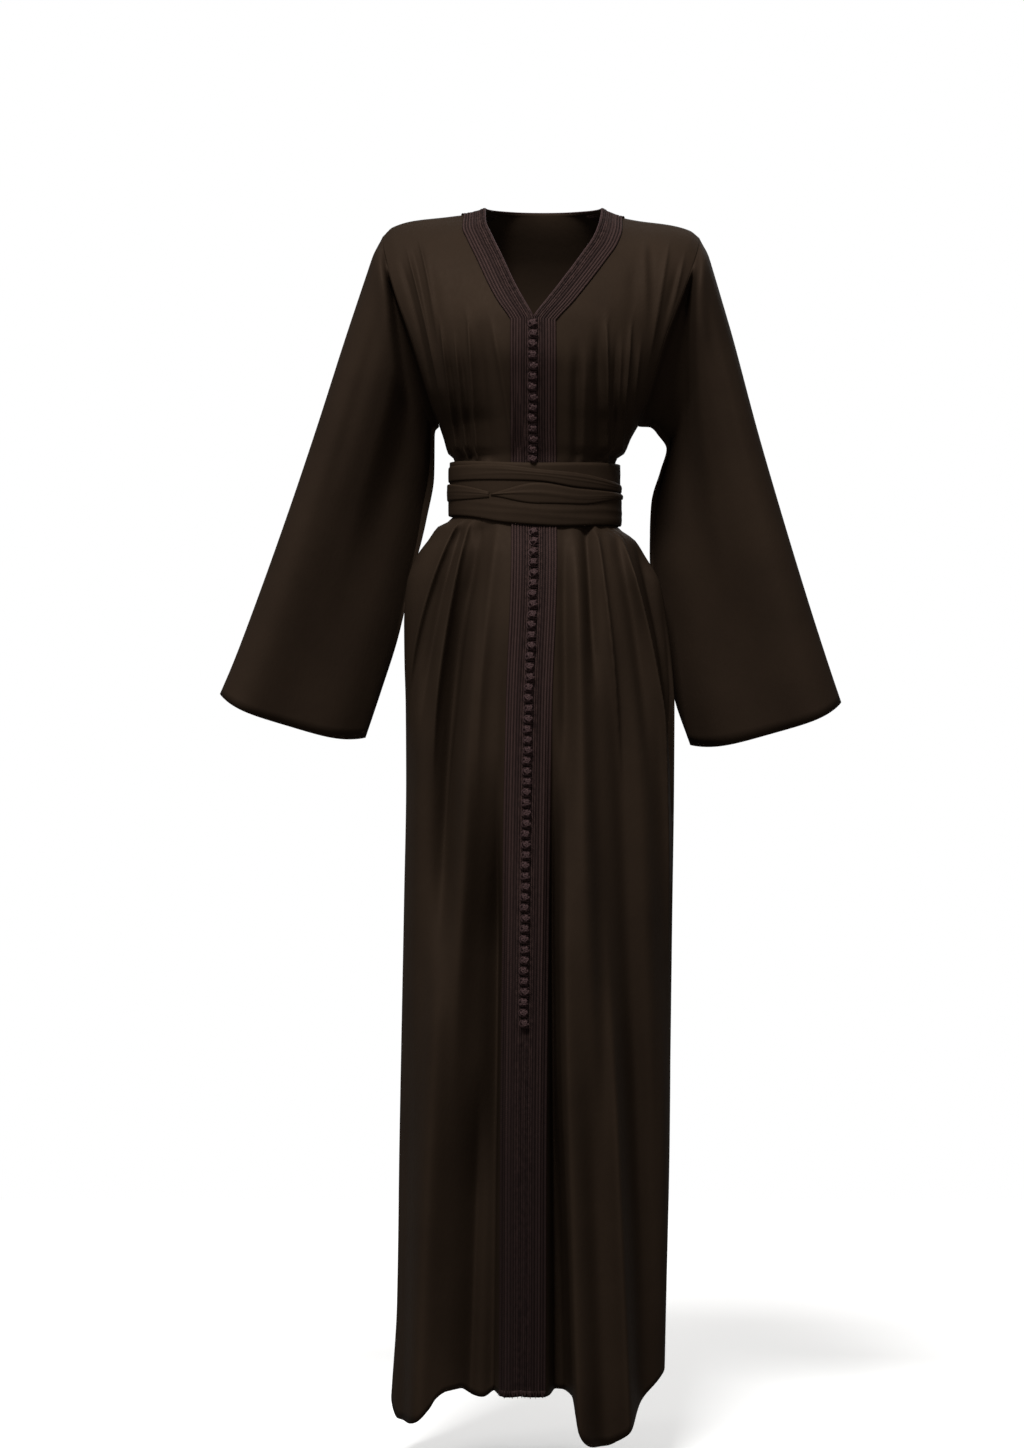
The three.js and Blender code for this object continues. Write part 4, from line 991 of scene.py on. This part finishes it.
def braidRings(side):
    panel = panels[side]
    rings, maps = [], []
    travelled = 0.0
    for row in range(len(levels)):
        points, normals = panel["grid"][row], panel["normals"][row]
        if row:
            travelled += (points[2] - panel["grid"][row - 1][2]).length
        ring = []
        for width, height, lane in braidRing:
            share = width / braid["width"]
            scaled = 2 * share / flatShare
            if share >= flatShare:
                scaled = 2 + 2 * (share - flatShare) / (1 - flatShare)
            column = min(3, int(scaled))
            t = scaled - column
            normal = normals[column].lerp(normals[column + 1], t).normalized()
            if column == 0 and t == 0 and row < armpitRow:
                normal = Vector((0, normal.y, normal.z)).normalized()
            ring.append(points[column].lerp(points[column + 1], t) + normal * height)
        rings.append(ring)
        maps.append([(lane, travelled * mm) for width, height, lane in braidRing])
    return rings, maps


def neckPoint(share, width):
    angle = share * math.pi
    perMm = (1 - neckShare) / (armhole["left"](1) - garment["neckHalfWidth"])
    across = neckShare * (2 * share - 1) - math.cos(angle) * perMm * width
    return clothPoint("back", across, ("rise", 1 - math.sin(angle) * braid["neckRisePerMm"] * width))


def neckRings():
    rings, maps = [], []
    travelled, before = 0.0, None
    for i in range(braid["neckSteps"] + 1):
        share = i / braid["neckSteps"]
        nudge = -0.01 if i == braid["neckSteps"] else 0.01
        ring = []
        for width, height, lane in braidRing:
            point = neckPoint(share, width)
            along = (neckPoint(share + nudge, width) - point) * (1 if nudge > 0 else -1)
            normal = (neckPoint(share, width + 1) - point).cross(along).normalized()
            if normal.y + normal.z < 0:
                normal.negate()
            if i in (0, braid["neckSteps"]):
                normal = Vector((normal.x, 0, normal.z)).normalized()
            ring.append(point + normal * (height + braid["neckLift"] * math.sin(share * math.pi)))
        middle = ring[len(ring) // 2]
        travelled += (middle - before).length if before else 0
        before = middle
        rings.append(ring)
        maps.append([(lane, travelled * mm) for width, height, lane in braidRing])
    return rings, maps


for side in ("right", "left"):
    rings, maps = braidRings(side)
    name = "braidRightCords" if side == "right" else "braidLeftCords"
    mesh = sweptMesh(name, rings, False, True, maps, side == "right")
    finishPiece(name, mesh, braidCords, ["braid_" + side])
rings, maps = neckRings()
mesh = sweptMesh("braidNeckCords", rings, False, True, maps, True)
finishPiece("braidNeckCords", mesh, braidCords, ["braid_back_neck"])

# loose thread ends of the cords at the hem
endPaths = []
for side in ("right", "left"):
    points, normals = panels[side]["grid"][0], panels[side]["normals"][0]
    for i in range(braid["ends"]):
        scaled = 4 * (i + 0.5) / braid["ends"]
        column = min(3, int(scaled))
        start = points[column].lerp(points[column + 1], scaled - column) + normals[column] * 2.0
        length = braid["endLength"] * (0.8 + 0.2 * math.sin(i * 2.3 + len(side)))
        drift = 1.6 * math.sin(i * 1.7)
        path = []
        for t in (0, 0.3, 0.6, 0.85, 1):
            path.append(start + Vector((drift * t * t, -0.6 * math.sin(t * 3), 7.5 - length * t)))
        endPaths.append((path, 0.75 + 0.25 * math.cos(i)))
print("stage: braid made")

# ---- sash ----
sash = {
    "thickness": 1.0,
    "columns": 132,
    "rows": 16,
    "roll": 0.9,  # how far the folded edges turn in
}
# inner offset, swell, start and end in degrees, edges (x, top, bottom) and soft creases (share up
# the stretch at its start, share at its end, half width, height)
sashStretches = {
    "sashUnderCloth": {
        "node": "sash_under", "inner": 5.3, "swell": 0, "turns": None,
        "edges": ((-110, -301, -360), (-12, -307.5, -374), (90, -304, -367)),
        "creases": ((0.9, 0.86, 0.05, 0.8), (0.3, 0.25, 0.04, 0.7)),
    },
    "sashLowerCloth": {
        "node": "sash_lower", "inner": 6.8, "swell": 0.6, "turns": None,
        "edges": ((-110, -344, -365), (-85, -343, -369), (-42, -343, -378), (14, -345, -382),
                  (90, -342, -377)),
        "creases": ((0.72, 0.1, 0.07, 1.2), (0.4, 0.02, 0.06, 1.0), (0.9, 0.8, 0.05, 0.5)),
    },
    "sashUpperCloth": {
        "node": "sash_upper", "inner": 6.8, "swell": 0.7, "turns": None,
        "edges": ((-110, -306.5, -325), (-50, -309, -327.5), (-6, -315, -329.5), (38, -319, -336),
                  (90, -329, -338)),
        "creases": ((0.8, 0.55, 0.05, 0.9), (0.35, 0.8, 0.05, 0.8)),
    },
    "sashCrossCloth": {
        "node": "sash_cross", "inner": 8.4, "swell": 0.5, "turns": (-90, 59),
        "edges": ((-110, -326.5, -347.5), (-85, -333, -349), (-57, -342, -348)),
        "creases": ((0.6, 0.55, 0.08, 0.7), (0.25, 0.4, 0.06, 0.5)),
    },
    "sashMiddleCloth": {
        "node": "sash_middle", "inner": 8.4, "swell": 0.6, "turns": (60.5, 269.6),
        "edges": ((-58, -343, -346), (-8, -331, -356), (38, -337.5, -356), (90, -339.5, -344.5)),
        "creases": ((0.5, 0.7, 0.06, 0.7), (0.5, 0.25, 0.05, 0.6)),
    },
}


def waistPoint(turn, z, offset):
    def place(angle):
        around = angle % 360
        if around <= 90:
            return lowerPoint("right", 1 - around / 90, waistZ)
        if around <= 180:
            return lowerPoint("left", around / 90 - 1, waistZ)
        return lowerPoint("back", 3 - around / 90, waistZ)

    ahead = place(turn + 1) - place(turn - 1)
    outward = Vector((ahead.y, -ahead.x, 0)).normalized()
    point = place(turn) + outward * offset
    point.z = z
    return point


for name, stretch in sashStretches.items():
    ring = stretch["turns"] is None
    start, end = (0, 360) if ring else stretch["turns"]
    table = {"columns": ("x", "top", "bottom"), "rows": stretch["edges"]}
    edge = curvesOf(table)
    count = sash["columns"] if ring else round(sash["columns"] * (end - start) / 360)
    turns = [lerp(start, end, i / count) for i in range(count if ring else count + 1)]

    def heightAt(which, turn):
        if 0 <= turn <= 180:
            return edge[which](waistPoint(turn, waistZ, 0).x)
        share = -turn / 180 if turn < 0 else (360 - turn) / 180
        return lerp(edge[which](stretch["edges"][0][0]), edge[which](stretch["edges"][-1][0]), smooth(share))

    grid = []
    for i in range(sash["rows"] + 1):
        rise = i / sash["rows"]
        line = []
        for turn in turns:
            low, high = heightAt("bottom", turn), heightAt("top", turn)
            rim = min(rise, 1 - rise) * (high - low)
            roll = sash["roll"] * (1 - min(1, rim / 2.0)) ** 2 if stretch["swell"] else 0
            calm = 0.35 + 0.65 * math.sin(math.radians(turn)) ** 2  # quieter at the sides
            swell = calm * stretch["swell"] * math.sin(rise * math.pi) ** 0.6
            offset = stretch["inner"] + sash["thickness"] + swell
            around = (turn - start) / (end - start)
            for first, last, width, height in stretch["creases"]:
                wave = calm * (abs(math.sin(around * math.pi)) if ring else 1)
                creaseAt = lerp(first, last, around) + 0.05 * math.sin(turn * 0.05 + first * 9)
                offset += height * wave * math.exp(-(((rise - creaseAt) / width) ** 2)) * smooth(rim / 3.0)
            line.append(waistPoint(turn, lerp(low, high, rise), offset - roll))
        grid.append(line)
    nodes = [stretch["node"]]
    sheetPiece(name, grid, ring, False, sash["thickness"], sashCrepe, nodes)
print("stage: sash wound")

# ---- buttons and loops ----
buttons = {
    "runs": ((-143.1, 11.8, 14), (-384.5, 12.14, 48)),
    "core": 3.6,
    "radius": 3.65,
    "strand": 1.0,
    "turnsRound": 3,
    "turnsOver": 4,
    "steps": 84,
    "strandSides": 5,
    "lift": 5.2,
    "unevenness": 0.7,
    "spin": 0.9,  # how far each knot is turned on from the one above
    "loopReach": 5.9,
    "loopRadius": 0.8,
    "loopSteps": 14,
    "loopHalf": 4.9,
    "loopStart": 4.4,
}


def frontPlace(z):
    rise = (z - armpitZ) / (garment["neckPointZ"] - armpitZ)
    if z > armpitZ:
        return Vector((chest["right"](min(rise, garment["vPointRise"])), chest["front"](rise), z))
    return Vector((body["centre"](z), body["front"](z), z))


# rings round a path; each ring's frame follows on from the one before, so the tube never twists
def tubeRings(path, radius, sides, closed):
    count = len(path)
    rings, ups = [], []
    up = None
    for i, point in enumerate(path):
        ahead = path[(i + 1) % count] if closed else path[min(i + 1, count - 1)]
        behind = path[i - 1] if closed or i else path[0]
        along = (ahead - behind).normalized()
        if up is None:
            up = along.orthogonal().normalized()
        up = (up - along * up.dot(along)).normalized()
        ups.append((point, up, along.cross(up)))
    drift = 0.0
    if closed:
        first, last = ups[0], ups[-1]
        drift = math.atan2(first[1].dot(last[2]), first[1].dot(last[1]))
    for i, (point, up, across) in enumerate(ups):
        shift = drift * i / count
        ring = []
        for j in range(sides):
            angle = 2 * math.pi * j / sides + shift
            ring.append(point + (up * math.cos(angle) + across * math.sin(angle)) * radius)
        rings.append(ring)
    return rings


def joinedMesh(name, meshes):
    joined = bmesh.new()
    for mesh in meshes:
        joined.from_mesh(mesh)
        bpy.data.meshes.remove(mesh)
    bmesh.ops.recalc_face_normals(joined, faces=joined.faces)
    whole = bpy.data.meshes.new(name)
    joined.to_mesh(whole)
    joined.free()
    return whole


def knotPath(centre, outward, slope, spin):
    path = []
    for step in range(buttons["steps"]):
        t = 2 * math.pi * step / buttons["steps"]
        swing = 0.98 * math.sin(buttons["turnsOver"] * t)
        around = buttons["turnsRound"] * t + spin
        reach = buttons["radius"] * (1 + 0.1 * math.cos(2 * buttons["turnsOver"] * t))
        flat = math.cos(swing)
        local = Vector((flat * math.cos(around), math.sin(swing), flat * math.sin(around))) * reach
        path.append(centre + Vector((local.x, 0, 0)) + outward * -local.y + slope * local.z)
    return path


# the loop goes round the knot from the left edge
def loopPath(centre, outward, slope):
    path = []
    for step in range(buttons["loopSteps"] + 1):
        t = math.pi * step / buttons["loopSteps"]
        x = buttons["loopStart"] - (buttons["loopStart"] + buttons["loopReach"]) * math.sin(t) ** 0.55
        sideways = Vector((x, 0, 0)) + slope * (buttons["loopHalf"] * math.cos(t))
        path.append(centre + sideways - outward * (2.0 + 0.9 * math.sin(t)))
    return path


knotMeshes = []
for top, pitch, count in buttons["runs"]:
    for i in range(count):
        z = top - (i + 0.5) * pitch
        slope = (frontPlace(z + 1) - frontPlace(z - 1)).normalized()
        outward = Vector((0, -slope.z, slope.y)).normalized()
        shift = Vector((buttons["unevenness"] * math.sin(i * 1.9), 0, 0))
        centre = frontPlace(z) + outward * buttons["lift"] + shift
        path = knotPath(centre, outward, slope, buttons["spin"] * i)
        strand = tubeRings(path, buttons["strand"], buttons["strandSides"], True)
        knotMeshes.append(sweptMesh("strand", strand, True, False))
        core = bmesh.new()
        bmesh.ops.create_icosphere(core, subdivisions=2, radius=buttons["core"] * mm)
        bmesh.ops.translate(core, verts=core.verts, vec=centre * mm)
        coreMesh = bpy.data.meshes.new("core")
        core.to_mesh(coreMesh)
        core.free()
        knotMeshes.append(coreMesh)
        loop = tubeRings(loopPath(centre, outward, slope), buttons["loopRadius"], 6, False)
        knotMeshes.append(sweptMesh("strand", loop, False, True))
closures = ["closure_%02d" % i for i in range(1, 12)]
finishPiece("knottedButtons", joinedMesh("knottedButtons", knotMeshes), knotCord, closures)
print("stage: knotted buttons made")

# ---- thread ends at the hem ----
endMeshes = []
for path, size in endPaths:
    endMeshes.append(sweptMesh("end", tubeRings(path, braid["endRadius"] * size, 5, False), False, True))
finishPiece("threadEnds", joinedMesh("threadEnds", endMeshes), knotCord, [])
print("stage: thread ends made")

# a thin cord closes the slit between the fronts, behind the buttons and down to the hem
slit = {"radius": 0.9, "top": -147.0, "bottom": -1390.0, "steps": 220}
slitPath = []
for i in range(slit["steps"] + 1):
    point = frontPlace(lerp(slit["top"], slit["bottom"], i / slit["steps"]))
    slitPath.append(point + Vector((0, -0.5, 0)))
slitTube = sweptMesh("slitCord", tubeRings(slitPath, slit["radius"], 6, False), False, True)
finishPiece("slitCord", joinedMesh("slitCord", [slitTube]), braidDark, [])
print("stage: slit cord made")

# ---- piping round the neck ----
piping = {"radius": 0.8, "sides": 8}
vRow = next(i for i, level in enumerate(levels) if level[0] == "rise" and level[1] >= garment["vPointRise"])
for side, inward in (("right", 0.1), ("left", -0.1)):
    panel = panels[side]
    edge = []
    for i in range(vRow, len(levels)):
        edge.append(panel["grid"][i][0] + Vector((inward, 0, 0.1)) + panel["normals"][i][0] * 0.5)
    panel["neckEdge"] = edge
backTop = panels["back"]["grid"][-1]
first = garment["shoulderColumns"]
backEdge = []
for point in backTop[first + 1:first + garment["neckColumns"]]:
    backEdge.append(point + Vector((-point.x * 0.008, -0.7, 0.3)))
path = panels["right"]["neckEdge"] + backEdge + panels["left"]["neckEdge"][::-1]
pipingTube = sweptMesh("neckPiping", tubeRings(path, piping["radius"], piping["sides"], False), False, True)
finishPiece("neckPiping", joinedMesh("neckPiping", [pipingTube]), knotCord, [])
print("stage: neck piping made")
